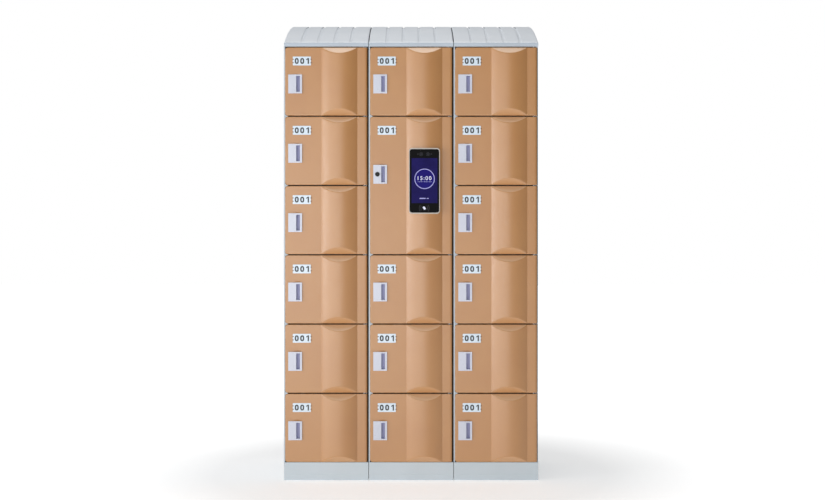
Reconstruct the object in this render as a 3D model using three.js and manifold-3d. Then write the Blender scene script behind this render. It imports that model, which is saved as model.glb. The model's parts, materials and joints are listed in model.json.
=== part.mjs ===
// Parcel locker bank: three moulded ABS columns bolted side by side on plinths, under ribbed sloping caps.
// The left and right columns hold six single compartments each. The middle column holds four, and a
// double-height control bay whose door carries a touch terminal and a key lock.
// Units are millimetres. +X is right, +Y is towards the back, +Z is up.
// The origin is at the middle of the footprint, on the floor.
import * as THREE from "three";
import { mergeVertices } from "three/addons/utils/BufferGeometryUtils.js";
import Module from "manifold-3d";

const wasm = await Module();
wasm.setup();

// ---- Driving dimensions ----
const COLUMN_PITCH = 380; // column to column
const TIERS = 6;
const TIER_H = 310; // one single compartment, panel to panel
const PLINTH_H = 80;
const CARCASS_D = 480; // front edge of the panels to the outer back face
const CAP_LIP_H = 18; // upright front lip of the sloping cap
const CAP_ARCH_RUN = 450; // depth of the arched part of the cap, from its front
const CAP_ARCH_RISE = 151; // height that the arch gains over that run
const CAP_START_SLOPE = 0.5; // rise over run where the arch starts
const CAP_BACK_DROP = 25; // height of the rounded edge at the back
const CAP_RIBS = 5;
const CAP_GROOVE_PITCH = 73;
const CAP_GROOVE_W = 7;
const CAP_GROOVE_D = 3;

// Clearances
const FIT = 0.3; // between fixed pieces that touch
const COLUMN_GAP = 0.5; // between the side panels of neighbouring columns
const RUN = 1.5; // between a moving piece and what it passes
const PIN_CLEARANCE = 0.5; // radial, around the hinge rod

// Moulded panels
const SIDE_T = 6;
const SHELF_T = 6;
const BACK_T = 6;
const SEAM_W = 2; // joint line between stacked modules, on the outside of a side panel
const SEAM_D = 1.5;
const PLINTH_WALL = 4;
const CAP_WALL = 4;
const PLINTH_INSET = 1; // each end of a plinth, for the joint line between plinths
const CAP_INSET = 1.25;

// Doors
const DOOR_T = 20;
const DOOR_SKIN = 3;
const DOOR_GAP = 5; // between the doors of neighbouring tiers
const DOOR_FOOT = 1; // door's lower edge above the tier's floor line
const DOOR_LEFT = 6.5; // door's left edge from the column's left face
const DOOR_RIGHT = 6; // door's right edge from the column's right face
const DOOR_CORNER_R = 12; // the two corners at the lock side
const DOOR_END = 6; // solid stretch at the door's upper and lower edges
const DOOR_SETBACK = 0.5; // door's inner face in front of the panels
const BULGE_LEFT = 169; // left edge of the door's bulge, from the column's left face
const BULGE_W = 160;
const BULGE_H = 25;
const BULGE_END = 29; // height of the sloping face at each end of the bulge

// Front lip of the left side panel, beside the door's edge
const LIP_D = 17;

// Hinge
const ROD_R = 3;
const ROD_FOOT = 6; // how far the rod reaches down into the plinth
const LUG_R = 8;
const HINGE_REBATE = 12; // front edge of the right side panel, behind the hinge

// Finger pull and its strike
const PULL_X = 51.5; // centre, from the column's left face
const PULL_Z = 142; // centre, above the tier's floor line
const CONTROL_PULL_Z = 358; // the same on the control door
const PULL_W = 61.5;
const PULL_H = 84.4;
const PULL_T = 6;
const SLOT_W = 16.6;
const SLOT_H = 70.8;
const SLOT_RIGHT = 9; // slot's right side to the plate's right edge
const SLOT_D = 17; // from the plate's face
const SLOT_UNDERCUT = 5;
const CUP_WALL = 2.5;
const TONGUE_INSET = 7.25; // middle of the tongue, from the plate's left edge
const TONGUE_T = 4;
const TONGUE_H = 24;
const TONGUE_REACH = 18; // behind the panels' front edge
const STRIKE_HOLE_W = 7;
const STRIKE_HOLE_H = 12;
const STRIKE_HOLE_TIP = 4; // from the hole to the tongue's tip
const TONGUE_ROOT = 2; // behind the door's outer face
const STEM_W = 8;
const STEM_H = 22;

// Lock strip on the left wall
const STRIP_T = 2;
const STRIP_FRONT = 4;
const STRIP_BACK = 60;
const LOCK_W = 27;
const LOCK_D = 54;
const LOCK_H = 70;
const LOCK_SLOT_W = 11;
const LOCK_SLOT_D = 20;
const LOCK_SLOT_H = 34;
const KEEPER_W = 10; // the plate that the cam turns behind
const KEEPER_D = 5;
const KEEPER_H = 40;

// Key lock on the control door
const KEY_INSET = 18.4; // axis, from the plate's left edge
const KEY_HEAD_R = 10.5;
const KEY_HEAD_T = 3;
const KEY_BARREL_R = 9;
const KEY_WAY_W = 2;
const KEY_WAY_H = 9;
const KEY_WAY_D = 2;
const CAM_FRONT = 10; // front face of the cam, behind the panels' front edge
const CAM_T = 3;
const CAM_W = 12;
const CAM_REACH = 24; // from the axis to the tip

// Touch terminal on the control door
const TERMINAL_Z = 327; // centre, above the bay's floor line
const TERMINAL_W = 138;
const TERMINAL_H = 293;
const TERMINAL_PROUD = 10; // in front of the bulge's crest
const TERMINAL_D = 40;
const TERMINAL_R = 14;
const TERMINAL_WALL = 3;
const GLASS_W = 131;
const GLASS_H = 282;
const GLASS_T = 3;
const GLASS_R = 11;
const CABLE_HOLE_R = 9;

// Boxes in the control bay
const CONTROLLER = { w: 240, h: 180, d: 60, drop: 200, wall: 1.5 }; // drop: from the bay's top to its middle
const SUPPLY = { w: 150, h: 60, d: 45, z: 160 }; // z is above the bay's floor line
const BOX_STAND_OFF = 2; // from the back panel
const SUPPLY_FLANGE = { reach: 12, t: 3 };

// Facets
const BULGE_STEPS = 8;
const CORNER_STEPS = 3;
const BARREL_STEPS = 12;
const BORE_STEPS = 8;
const ARCH_STEPS = 5;

// ---- Sizes that follow ----
const COLUMN_NAMES = ["a", "b", "c"];
const CONTROL_COLUMN = "b";
const STACK_TOP = PLINTH_H + TIERS * TIER_H;
const HINGE_R = DOOR_T / 2;
const DOOR_BACK_Y = -DOOR_SETBACK;
const DOOR_FRONT_Y = DOOR_BACK_Y - DOOR_T;
const DOOR_X1 = COLUMN_PITCH - DOOR_RIGHT;
const HINGE_X = DOOR_X1 - HINGE_R;
const HINGE_Y = DOOR_FRONT_Y + HINGE_R;
const BULGE_R = ((BULGE_W / 2) ** 2 + BULGE_H ** 2) / (2 * BULGE_H);
const BULGE_X = BULGE_LEFT + BULGE_W / 2;
const CREST_Y = DOOR_FRONT_Y - BULGE_H;
const GLASS_FRONT_Y = CREST_Y - TERMINAL_PROUD;
const PANEL_X0 = COLUMN_GAP / 2 + SIDE_T + FIT; // between the side panels
const PANEL_X1 = COLUMN_PITCH - PANEL_X0;
const STACK_Z0 = PLINTH_H + FIT;
const STACK_Z1 = STACK_TOP - FIT;
const BORE_R = ROD_R + PIN_CLEARANCE;
const LUG_T = DOOR_GAP - 2 * DOOR_FOOT; // clear of the door above and the door below
const LIP_X1 = DOOR_LEFT - RUN;
const PLATE_BACK_Y = DOOR_FRONT_Y - FIT;
const PLATE_FRONT_Y = PLATE_BACK_Y - PULL_T;
const PLATE_X0 = PULL_X - PULL_W / 2;
const PLATE_X1 = PULL_X + PULL_W / 2;
const TONGUE_X = PLATE_X0 + TONGUE_INSET;
const KEY_X = PLATE_X0 + KEY_INSET;
const SLOT_X1 = PLATE_X1 - SLOT_RIGHT;
const SLOT_X0 = SLOT_X1 - SLOT_W;
const CUP_X0 = SLOT_X0 - SLOT_UNDERCUT - CUP_WALL;
const CUP_X1 = SLOT_X1 + CUP_WALL;
const CUP_H = SLOT_H + 2 * CUP_WALL;
const CUP_BACK_Y = PLATE_FRONT_Y + SLOT_D + CUP_WALL;
const KEY_HOLE_R = KEY_BARREL_R + PIN_CLEARANCE;
const BOX_BACK_Y = CARCASS_D - BACK_T - BOX_STAND_OFF;
const OVER = 1; // how far a cutter passes a face, or a joined solid enters its neighbour

// A compartment runs over tiers counted from the bottom; the control bay takes two.
const ALL_TIERS = Array.from({ length: TIERS }, (_, tier) => tier);
const CONTROL_TIER = 3;
const isControl = (name, tier) =>
  name === CONTROL_COLUMN && (tier === CONTROL_TIER || tier === CONTROL_TIER + 1);
const singleTiers = (name) => ALL_TIERS.filter((tier) => !isControl(name, tier));
const tierFloor = (tier) => PLINTH_H + tier * TIER_H;
const rowNumber = (tier) => TIERS - tier; // rows are counted from the top

// The tiers that stand on another compartment, and so have a shelf under them.
const shelfTiers = (name) =>
  ALL_TIERS.filter((k) => k > 0 && !(name === CONTROL_COLUMN && k === CONTROL_TIER + 1));

// ---- Materials ----
const doorAbs = new THREE.MeshStandardMaterial({ color: 0xc98f5c, roughness: 0.42, metalness: 0 });
const bodyAbs = new THREE.MeshStandardMaterial({ color: 0xd3d8de, roughness: 0.5, metalness: 0 });
const capAbs = new THREE.MeshStandardMaterial({ color: 0xc9cdd4, roughness: 0.55, metalness: 0 });
const plinthAbs = new THREE.MeshStandardMaterial({ color: 0xc2ccd4, roughness: 0.4, metalness: 0 });
const pullAbs = new THREE.MeshStandardMaterial({ color: 0xe9ecf4, roughness: 0.35, metalness: 0 });
const rodSteel = new THREE.MeshStandardMaterial({ color: 0xb8babd, roughness: 0.3, metalness: 1 });
const lockSteel = new THREE.MeshStandardMaterial({ color: 0x4a4d52, roughness: 0.5, metalness: 0.4 });
const keyBlack = new THREE.MeshStandardMaterial({ color: 0x16171a, roughness: 0.35, metalness: 0.3 });
const terminalShell = new THREE.MeshStandardMaterial({ color: 0xe2e0dc, roughness: 0.4, metalness: 0.1 });
const terminalGlass = new THREE.MeshStandardMaterial({ color: 0x101114, roughness: 0.08, metalness: 0 });
const boxGrey = new THREE.MeshStandardMaterial({ color: 0x8d9196, roughness: 0.5, metalness: 0.3 });

// ---- Solids ----
// A closed geometry as a manifold solid.
function solidOf(geometry) {
  const bare = geometry.clone();
  bare.deleteAttribute("normal");
  bare.deleteAttribute("uv");
  const merged = mergeVertices(bare, 1e-4);
  return new wasm.Manifold(
    new wasm.Mesh({
      numProp: 3,
      vertProperties: merged.attributes.position.array,
      triVerts: new Uint32Array(merged.index.array),
    }),
  );
}

// A manifold solid as a geometry.
function geometryOf(solid) {
  const mesh = solid.getMesh();
  const geometry = new THREE.BufferGeometry();
  geometry.setAttribute("position", new THREE.BufferAttribute(new Float32Array(mesh.vertProperties), 3));
  geometry.setIndex(new THREE.BufferAttribute(new Uint32Array(mesh.triVerts), 1));
  geometry.computeVertexNormals();
  return geometry;
}

function block(x0, x1, y0, y1, z0, z1) {
  const geometry = new THREE.BoxGeometry(x1 - x0, y1 - y0, z1 - z0);
  geometry.translate((x0 + x1) / 2, (y0 + y1) / 2, (z0 + z1) / 2);
  return solidOf(geometry);
}

// An upright round bar.
function barZ(x, y, r, z0, z1, steps) {
  const geometry = new THREE.CylinderGeometry(r, r, z1 - z0, steps);
  geometry.rotateX(Math.PI / 2);
  geometry.translate(x, y, (z0 + z1) / 2);
  return solidOf(geometry);
}

// A round bar that lies front to back.
function barY(x, z, r, y0, y1, steps) {
  const geometry = new THREE.CylinderGeometry(r, r, y1 - y0, steps);
  geometry.translate(x, (y0 + y1) / 2, z);
  return solidOf(geometry);
}

// An outline in x and z, run from y0 to y1.
function plateY(shape, y0, y1, steps = CORNER_STEPS) {
  const geometry = new THREE.ExtrudeGeometry(shape, {
    depth: y1 - y0,
    bevelEnabled: false,
    curveSegments: steps,
  });
  geometry.rotateX(Math.PI / 2);
  geometry.translate(0, y1, 0);
  return solidOf(geometry);
}

// An outline in x and y, run from z0 to z1.
function plateZ(shape, z0, z1, steps) {
  const geometry = new THREE.ExtrudeGeometry(shape, {
    depth: z1 - z0,
    bevelEnabled: false,
    curveSegments: steps,
  });
  geometry.translate(0, 0, z0);
  return solidOf(geometry);
}

// An outline in y and z, run from x0 to x1.
function plateX(shape, x0, x1, steps) {
  const geometry = new THREE.ExtrudeGeometry(shape, {
    depth: x1 - x0,
    bevelEnabled: false,
    curveSegments: steps,
  });
  geometry.rotateY(Math.PI / 2);
  geometry.rotateX(Math.PI / 2);
  geometry.translate(x0, 0, 0);
  return solidOf(geometry);
}

function roundedOutline(x0, x1, z0, z1, rLeft, rRight) {
  const shape = new THREE.Shape();
  shape.moveTo(x0 + rLeft, z0);
  shape.lineTo(x1 - rRight, z0);
  if (rRight > 0) shape.absarc(x1 - rRight, z0 + rRight, rRight, -Math.PI / 2, 0);
  shape.lineTo(x1, z1 - rRight);
  if (rRight > 0) shape.absarc(x1 - rRight, z1 - rRight, rRight, 0, Math.PI / 2);
  shape.lineTo(x0 + rLeft, z1);
  if (rLeft > 0) shape.absarc(x0 + rLeft, z1 - rLeft, rLeft, Math.PI / 2, Math.PI);
  shape.lineTo(x0, z0 + rLeft);
  if (rLeft > 0) shape.absarc(x0 + rLeft, z0 + rLeft, rLeft, Math.PI, 1.5 * Math.PI);
  return shape;
}

// ---- Plinth ----
function plinth() {
  const x0 = PLINTH_INSET;
  const x1 = COLUMN_PITCH - PLINTH_INSET;
  const shell = block(x0, x1, DOOR_FRONT_Y, CARCASS_D, 0, PLINTH_H);
  const hollow = block(
    x0 + PLINTH_WALL,
    x1 - PLINTH_WALL,
    DOOR_FRONT_Y + PLINTH_WALL,
    CARCASS_D - PLINTH_WALL,
    -PLINTH_WALL,
    PLINTH_H - PLINTH_WALL,
  );
  const rodHole = barZ(HINGE_X, HINGE_Y, BORE_R, 0, PLINTH_H + PLINTH_WALL, BORE_STEPS);
  return shell.subtract(hollow).subtract(rodHole);
}

// ---- Sloping cap ----
// Outline of the cap in y and z, lowered by drop all along its arch.
function capOutline(drop) {
  const front = DOOR_FRONT_Y;
  const start = front + drop;
  const lip = CAP_LIP_H - drop;
  const endSlope = (2 * CAP_ARCH_RISE) / CAP_ARCH_RUN - CAP_START_SLOPE;
  const archTop = lip + CAP_ARCH_RISE;
  const backRun = CARCASS_D - drop - front - CAP_ARCH_RUN;
  const shape = new THREE.Shape();
  shape.moveTo(start, 0);
  shape.lineTo(start, lip);
  shape.quadraticCurveTo(
    front + CAP_ARCH_RUN / 2,
    lip + (CAP_START_SLOPE * CAP_ARCH_RUN) / 2,
    front + CAP_ARCH_RUN,
    archTop,
  );
  shape.quadraticCurveTo(
    CARCASS_D - drop,
    archTop + endSlope * backRun,
    CARCASS_D - drop,
    archTop - CAP_BACK_DROP,
  );
  shape.lineTo(CARCASS_D - drop, 0);
  return shape;
}

function cap() {
  const x0 = CAP_INSET;
  const x1 = COLUMN_PITCH - CAP_INSET;
  let solid = plateX(capOutline(CAP_GROOVE_D), x0, x1, ARCH_STEPS);
  for (let rib = 0; rib < CAP_RIBS; rib += 1) {
    const middle = COLUMN_PITCH / 2 + (rib - (CAP_RIBS - 1) / 2) * CAP_GROOVE_PITCH;
    const left = rib === 0 ? x0 : middle - (CAP_GROOVE_PITCH - CAP_GROOVE_W) / 2;
    const right = rib === CAP_RIBS - 1 ? x1 : middle + (CAP_GROOVE_PITCH - CAP_GROOVE_W) / 2;
    solid = solid.add(plateX(capOutline(0), left, right, ARCH_STEPS));
  }
  const wall = CAP_GROOVE_D + CAP_WALL;
  const hollow = plateX(capOutline(wall), x0 + CAP_WALL, x1 - CAP_WALL, ARCH_STEPS).translate([0, 0, -FIT]);
  const base = block(x0, x1, DOOR_FRONT_Y, CARCASS_D, 0, CAP_LIP_H - CAP_WALL);
  const baseHollow = block(
    x0 + CAP_WALL,
    x1 - CAP_WALL,
    DOOR_FRONT_Y + CAP_WALL,
    CARCASS_D - CAP_WALL,
    -CAP_WALL,
    CAP_LIP_H - 2 * CAP_WALL,
  );
  return solid.add(base).subtract(hollow).subtract(baseHollow).translate([0, 0, STACK_TOP]);
}

// ---- Side panels ----
// Fills the corner that two rounded door corners leave at a tier boundary.
function cornerBlock(z) {
  const x0 = COLUMN_GAP / 2;
  const x1 = DOOR_LEFT + DOOR_CORNER_R;
  const lower = z - DOOR_GAP + DOOR_FOOT - DOOR_CORNER_R;
  const upper = z + DOOR_FOOT + DOOR_CORNER_R;
  const front = block(x0, x1, -LIP_D, -FIT, lower, upper);
  const root = block(x0, x0 + SIDE_T, -LIP_D, FIT, lower, upper);
  const r = DOOR_CORNER_R + RUN;
  return front
    .add(root)
    .subtract(barY(x1, lower, r, -LIP_D - OVER, FIT + OVER, BARREL_STEPS))
    .subtract(barY(x1, upper, r, -LIP_D - OVER, FIT + OVER, BARREL_STEPS));
}

function seam(x0, x1, z) {
  return block(x0, x1, -LIP_D - OVER, CARCASS_D + OVER, z - SEAM_W / 2, z + SEAM_W / 2);
}

function leftPanel(name) {
  const x0 = COLUMN_GAP / 2;
  let solid = block(x0, x0 + SIDE_T, 0, CARCASS_D, STACK_Z0, STACK_Z1);
  solid = solid.add(block(x0, LIP_X1, -LIP_D, FIT, STACK_Z0, STACK_Z1));
  for (const k of shelfTiers(name)) {
    solid = solid.add(cornerBlock(tierFloor(k)));
    solid = solid.subtract(seam(x0 - SEAM_D, x0 + SEAM_D, tierFloor(k)));
  }
  return solid;
}

function rightPanel(name) {
  const x1 = COLUMN_PITCH - COLUMN_GAP / 2;
  let solid = block(x1 - SIDE_T, x1, HINGE_REBATE, CARCASS_D, STACK_Z0, STACK_Z1);
  for (const k of shelfTiers(name)) {
    solid = solid.subtract(seam(x1 - SEAM_D, x1 + SEAM_D, tierFloor(k)));
  }
  return solid;
}

// ---- Back panel with its shelves ----
// A lug holds the hinge rod between two doors; its top is level with the shelf's.
function hingeLug(top) {
  const eye = barZ(HINGE_X, HINGE_Y, LUG_R, top - LUG_T, top, BARREL_STEPS);
  const arm = block(HINGE_X - LUG_R, HINGE_X + LUG_R, HINGE_Y, OVER, top - LUG_T, top);
  return eye.add(arm);
}

function shelfStack(name) {
  let solid = block(PANEL_X0, PANEL_X1, CARCASS_D - BACK_T, CARCASS_D, STACK_Z0, STACK_Z1);
  const shelfTops = [...shelfTiers(name).map(tierFloor), STACK_Z1];
  for (const top of shelfTops) {
    solid = solid.add(block(PANEL_X0, PANEL_X1, 0, CARCASS_D, top - SHELF_T, top));
    solid = solid.add(hingeLug(top));
  }
  solid = solid.add(block(PANEL_X0, PANEL_X1, 0, CARCASS_D, STACK_Z0, STACK_Z0 + SHELF_T));
  const stripNotch = block(
    0,
    PANEL_X0 + STRIP_T + FIT,
    STRIP_FRONT - FIT,
    STRIP_BACK + FIT,
    STACK_Z0 + SHELF_T,
    STACK_Z1 - SHELF_T,
  );
  const rodBore = barZ(HINGE_X, HINGE_Y, BORE_R, 0, STACK_TOP, BORE_STEPS);
  return solid.subtract(stripNotch).subtract(rodBore);
}

// ---- Hinge rod ----
function hingeRod() {
  return barZ(HINGE_X, HINGE_Y, ROD_R, PLINTH_H - ROD_FOOT, STACK_Z1, BORE_STEPS);
}

// ---- Lock strip ----
function lockBody(z) {
  const x0 = PANEL_X0 + STRIP_T - FIT;
  const body = block(
    x0,
    PANEL_X0 + STRIP_T + LOCK_W,
    STRIP_FRONT,
    STRIP_FRONT + LOCK_D,
    z - LOCK_H / 2,
    z + LOCK_H / 2,
  );
  const slot = block(
    TONGUE_X - LOCK_SLOT_W / 2,
    TONGUE_X + LOCK_SLOT_W / 2,
    0,
    STRIP_FRONT + LOCK_SLOT_D,
    z - LOCK_SLOT_H / 2,
    z + LOCK_SLOT_H / 2,
  );
  return body.subtract(slot);
}

function lockStrip(name) {
  let solid = block(
    PANEL_X0,
    PANEL_X0 + STRIP_T,
    STRIP_FRONT,
    STRIP_BACK,
    STACK_Z0 + SHELF_T + FIT,
    STACK_Z1 - SHELF_T - FIT,
  );
  for (const tier of singleTiers(name)) solid = solid.add(lockBody(tierFloor(tier) + PULL_Z));
  if (name === CONTROL_COLUMN) {
    const z = tierFloor(CONTROL_TIER) + CONTROL_PULL_Z;
    const keeperBack = CAM_FRONT - RUN;
    const keeper = block(
      PANEL_X0 + STRIP_T - FIT,
      PANEL_X0 + STRIP_T + KEEPER_W,
      keeperBack - KEEPER_D,
      keeperBack,
      z - KEEPER_H / 2,
      z + KEEPER_H / 2,
    );
    solid = solid.add(keeper);
  }
  return solid;
}

// ---- Doors ----
// The raised part of a door: an upright cylinder segment, cut by a sloping plane at each end.
// Inset is the skin's thickness for the hollow inside it, and 0 for the outside.
function bulge(height, inset, steps) {
  const r = BULGE_R - inset;
  const centreY = CREST_Y + BULGE_R;
  const rootY = DOOR_FRONT_Y + DOOR_SKIN + inset;
  const half = Math.asin(Math.min(1, (BULGE_W / 2 - inset) / r));
  const arc = new THREE.Shape();
  arc.moveTo(BULGE_X - r * Math.sin(half), rootY);
  arc.absarc(BULGE_X, centreY, r, -Math.PI / 2 - half, -Math.PI / 2 + half);
  arc.lineTo(BULGE_X + r * Math.sin(half), rootY);
  const body = plateZ(arc, 0, height, steps);
  const crest = CREST_Y + inset;
  const slope = BULGE_END / BULGE_H;
  const foot = (rootY - DOOR_FRONT_Y) * slope;
  const ends = new THREE.Shape();
  ends.moveTo(rootY, inset - foot);
  ends.lineTo(crest, inset + BULGE_END - inset * slope);
  ends.lineTo(crest, height - inset - BULGE_END + inset * slope);
  ends.lineTo(rootY, height - inset + foot);
  const span = block(0, COLUMN_PITCH, crest - OVER, rootY, inset, height - inset);
  return body.intersect(plateX(ends, 0, COLUMN_PITCH, 1)).intersect(span);
}

function doorBlank(height) {
  const outline = roundedOutline(DOOR_LEFT, HINGE_X, 0, height, DOOR_CORNER_R, 0);
  const slab = plateY(outline, DOOR_FRONT_Y, DOOR_BACK_Y);
  const barrel = barZ(HINGE_X, HINGE_Y, HINGE_R, 0, height, BARREL_STEPS);
  return slab.add(barrel).add(bulge(height, 0, BULGE_STEPS));
}

function doorHollow(height) {
  const s = DOOR_SKIN;
  const hollow = block(
    DOOR_LEFT + s,
    HINGE_X - HINGE_R,
    DOOR_FRONT_Y + s,
    DOOR_BACK_Y - s,
    DOOR_END,
    height - DOOR_END,
  );
  return hollow.add(bulge(height, s, BULGE_STEPS / 2));
}

// Openings for the finger pull's cup and, on a locked door, for the stem of its strike.
function pullCutouts(z, withStem) {
  const cup = block(
    CUP_X0 - FIT,
    CUP_X1 + FIT,
    DOOR_FRONT_Y - OVER,
    CUP_BACK_Y + FIT,
    z - CUP_H / 2 - FIT,
    z + CUP_H / 2 + FIT,
  );
  if (!withStem) return cup;
  const reach = Math.max(TONGUE_H, STEM_H) / 2 + FIT;
  const side = STEM_W / 2 + FIT;
  return cup.add(block(TONGUE_X - side, TONGUE_X + side, DOOR_FRONT_Y - OVER, OVER, z - reach, z + reach));
}

function door(height, pullZ) {
  const bore = barZ(HINGE_X, HINGE_Y, BORE_R, -OVER, height + OVER, BORE_STEPS);
  return doorBlank(height).subtract(doorHollow(height)).subtract(bore).subtract(pullCutouts(pullZ, true));
}

function controlDoor(height, pullZ, terminalZ) {
  const bore = barZ(HINGE_X, HINGE_Y, BORE_R, -OVER, height + OVER, BORE_STEPS);
  const window = plateY(
    roundedOutline(
      BULGE_X - TERMINAL_W / 2 - FIT,
      BULGE_X + TERMINAL_W / 2 + FIT,
      terminalZ - TERMINAL_H / 2 - FIT,
      terminalZ + TERMINAL_H / 2 + FIT,
      TERMINAL_R,
      TERMINAL_R,
    ),
    GLASS_FRONT_Y - OVER,
    GLASS_FRONT_Y + TERMINAL_D + FIT,
  );
  const cableHole = barY(BULGE_X, terminalZ, CABLE_HOLE_R, DOOR_FRONT_Y, OVER, BORE_STEPS);
  const keyHole = barY(KEY_X, pullZ, KEY_HOLE_R, DOOR_FRONT_Y - OVER, OVER, BARREL_STEPS);
  return doorBlank(height)
    .subtract(doorHollow(height))
    .subtract(bore)
    .subtract(pullCutouts(pullZ, false))
    .subtract(window)
    .subtract(cableHole)
    .subtract(keyHole);
}

// ---- Finger pull ----
// Plate, cup with a finger slot that is undercut to the left, and the stem and tongue of the strike.
function pull(withStrike) {
  let solid = block(PLATE_X0, PLATE_X1, PLATE_FRONT_Y, PLATE_BACK_Y, -PULL_H / 2, PULL_H / 2);
  solid = solid.add(block(CUP_X0, CUP_X1, PLATE_FRONT_Y + OVER, CUP_BACK_Y, -CUP_H / 2, CUP_H / 2));
  const slotBack = PLATE_FRONT_Y + SLOT_D;
  const mouth = block(SLOT_X0, SLOT_X1, PLATE_FRONT_Y - OVER, slotBack, -SLOT_H / 2, SLOT_H / 2);
  const undercut = block(
    SLOT_X0 - SLOT_UNDERCUT,
    SLOT_X0 + OVER,
    PLATE_BACK_Y,
    slotBack,
    -SLOT_H / 2,
    SLOT_H / 2,
  );
  solid = solid.subtract(mouth).subtract(undercut);
  if (!withStrike) {
    return solid.subtract(barY(KEY_X, 0, KEY_HOLE_R, PLATE_FRONT_Y - OVER, OVER, BARREL_STEPS));
  }
  const stem = block(
    TONGUE_X - STEM_W / 2,
    TONGUE_X + STEM_W / 2,
    PLATE_FRONT_Y + OVER,
    DOOR_BACK_Y,
    -STEM_H / 2,
    STEM_H / 2,
  );
  const tongue = block(
    TONGUE_X - TONGUE_T / 2,
    TONGUE_X + TONGUE_T / 2,
    DOOR_FRONT_Y + TONGUE_ROOT,
    TONGUE_REACH,
    -TONGUE_H / 2,
    TONGUE_H / 2,
  );
  const holeBack = TONGUE_REACH - STRIKE_HOLE_TIP;
  const strikeHole = block(
    TONGUE_X - TONGUE_T,
    TONGUE_X + TONGUE_T,
    holeBack - STRIKE_HOLE_W,
    holeBack,
    -STRIKE_HOLE_H / 2,
    STRIKE_HOLE_H / 2,
  );
  return solid.add(stem).add(tongue).subtract(strikeHole);
}

// ---- Key lock ----
// Head, barrel and cam turn as one; the cam hangs down when unlocked.
function keyLock() {
  const headBack = PLATE_FRONT_Y - FIT;
  const head = barY(KEY_X, 0, KEY_HEAD_R, headBack - KEY_HEAD_T, headBack, BARREL_STEPS);
  const barrel = barY(KEY_X, 0, KEY_BARREL_R, headBack - OVER, CAM_FRONT, BARREL_STEPS);
  const cam = block(
    KEY_X - CAM_W / 2,
    KEY_X + CAM_W / 2,
    CAM_FRONT - OVER,
    CAM_FRONT + CAM_T,
    -CAM_REACH,
    CAM_W / 2,
  );
  const keyway = block(
    KEY_X - KEY_WAY_W / 2,
    KEY_X + KEY_WAY_W / 2,
    headBack - KEY_HEAD_T - OVER,
    headBack - KEY_HEAD_T + KEY_WAY_D,
    -KEY_WAY_H / 2,
    KEY_WAY_H / 2,
  );
  return head.add(barrel).add(cam).subtract(keyway);
}

// ---- Touch terminal ----
function terminalHousing() {
  const half = TERMINAL_W / 2;
  const tall = TERMINAL_H / 2;
  const w = TERMINAL_WALL;
  const outer = roundedOutline(BULGE_X - half, BULGE_X + half, -tall, tall, TERMINAL_R, TERMINAL_R);
  const glassX = GLASS_W / 2 + FIT;
  const glassZ = GLASS_H / 2 + FIT;
  const seat = roundedOutline(BULGE_X - glassX, BULGE_X + glassX, -glassZ, glassZ, GLASS_R, GLASS_R);
  const seatBack = GLASS_FRONT_Y + GLASS_T + FIT;
  const body = plateY(outer, GLASS_FRONT_Y, GLASS_FRONT_Y + TERMINAL_D);
  const hollow = block(
    BULGE_X - half + w,
    BULGE_X + half - w,
    seatBack + w,
    GLASS_FRONT_Y + TERMINAL_D + OVER,
    -tall + w,
    tall - w,
  );
  return body.subtract(plateY(seat, GLASS_FRONT_Y - OVER, seatBack)).subtract(hollow);
}

function terminalScreen() {
  const halfW = GLASS_W / 2;
  const halfH = GLASS_H / 2;
  const outline = roundedOutline(BULGE_X - halfW, BULGE_X + halfW, -halfH, halfH, GLASS_R, GLASS_R);
  return plateY(outline, GLASS_FRONT_Y, GLASS_FRONT_Y + GLASS_T);
}

// ---- Boxes in the control bay ----
function controllerBox() {
  const { w, h, d, wall } = CONTROLLER;
  const x0 = (COLUMN_PITCH - w) / 2;
  const shell = block(x0, x0 + w, BOX_BACK_Y - d, BOX_BACK_Y, -h / 2, h / 2);
  const inside = block(
    x0 + wall,
    x0 + w - wall,
    BOX_BACK_Y - d + wall,
    BOX_BACK_Y - wall,
    -h / 2 + wall,
    h / 2 - wall,
  );
  const cableSlot = block(
    x0 + w / 4,
    x0 + (3 * w) / 4,
    BOX_BACK_Y - d / 2,
    BOX_BACK_Y - d / 4,
    -h / 2 - OVER,
    0,
  );
  return shell.subtract(inside).subtract(cableSlot);
}

function powerSupply() {
  const { w, h, d } = SUPPLY;
  const x0 = (COLUMN_PITCH - w) / 2;
  const { reach, t } = SUPPLY_FLANGE;
  const body = block(x0, x0 + w, BOX_BACK_Y - d, BOX_BACK_Y, -h / 2, h / 2);
  return body.add(block(x0 - reach, x0 + w + reach, BOX_BACK_Y - t, BOX_BACK_Y, -h / 2, h / 2));
}

// ---- Assembly ----
function named(name, solid, material, z = 0) {
  const mesh = new THREE.Mesh(solid.isBufferGeometry ? solid : geometryOf(solid), material);
  mesh.name = name;
  mesh.position.z = z;
  return mesh;
}

const doorHeight = (tiers) => tiers * TIER_H - DOOR_GAP;
const doorPullZ = PULL_Z - DOOR_FOOT;
const singleDoor = geometryOf(door(doorHeight(1), doorPullZ));
const singlePull = geometryOf(pull(true));

// A single compartment's door and finger pull.
function addSingle(group, column, tier) {
  const label = `${column}${rowNumber(tier)}`;
  const floor = tierFloor(tier);
  group.add(named(`door_${label}`, singleDoor, doorAbs, floor + DOOR_FOOT));
  group.add(named(`pull_${label}`, singlePull, pullAbs, floor + PULL_Z));
}

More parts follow.
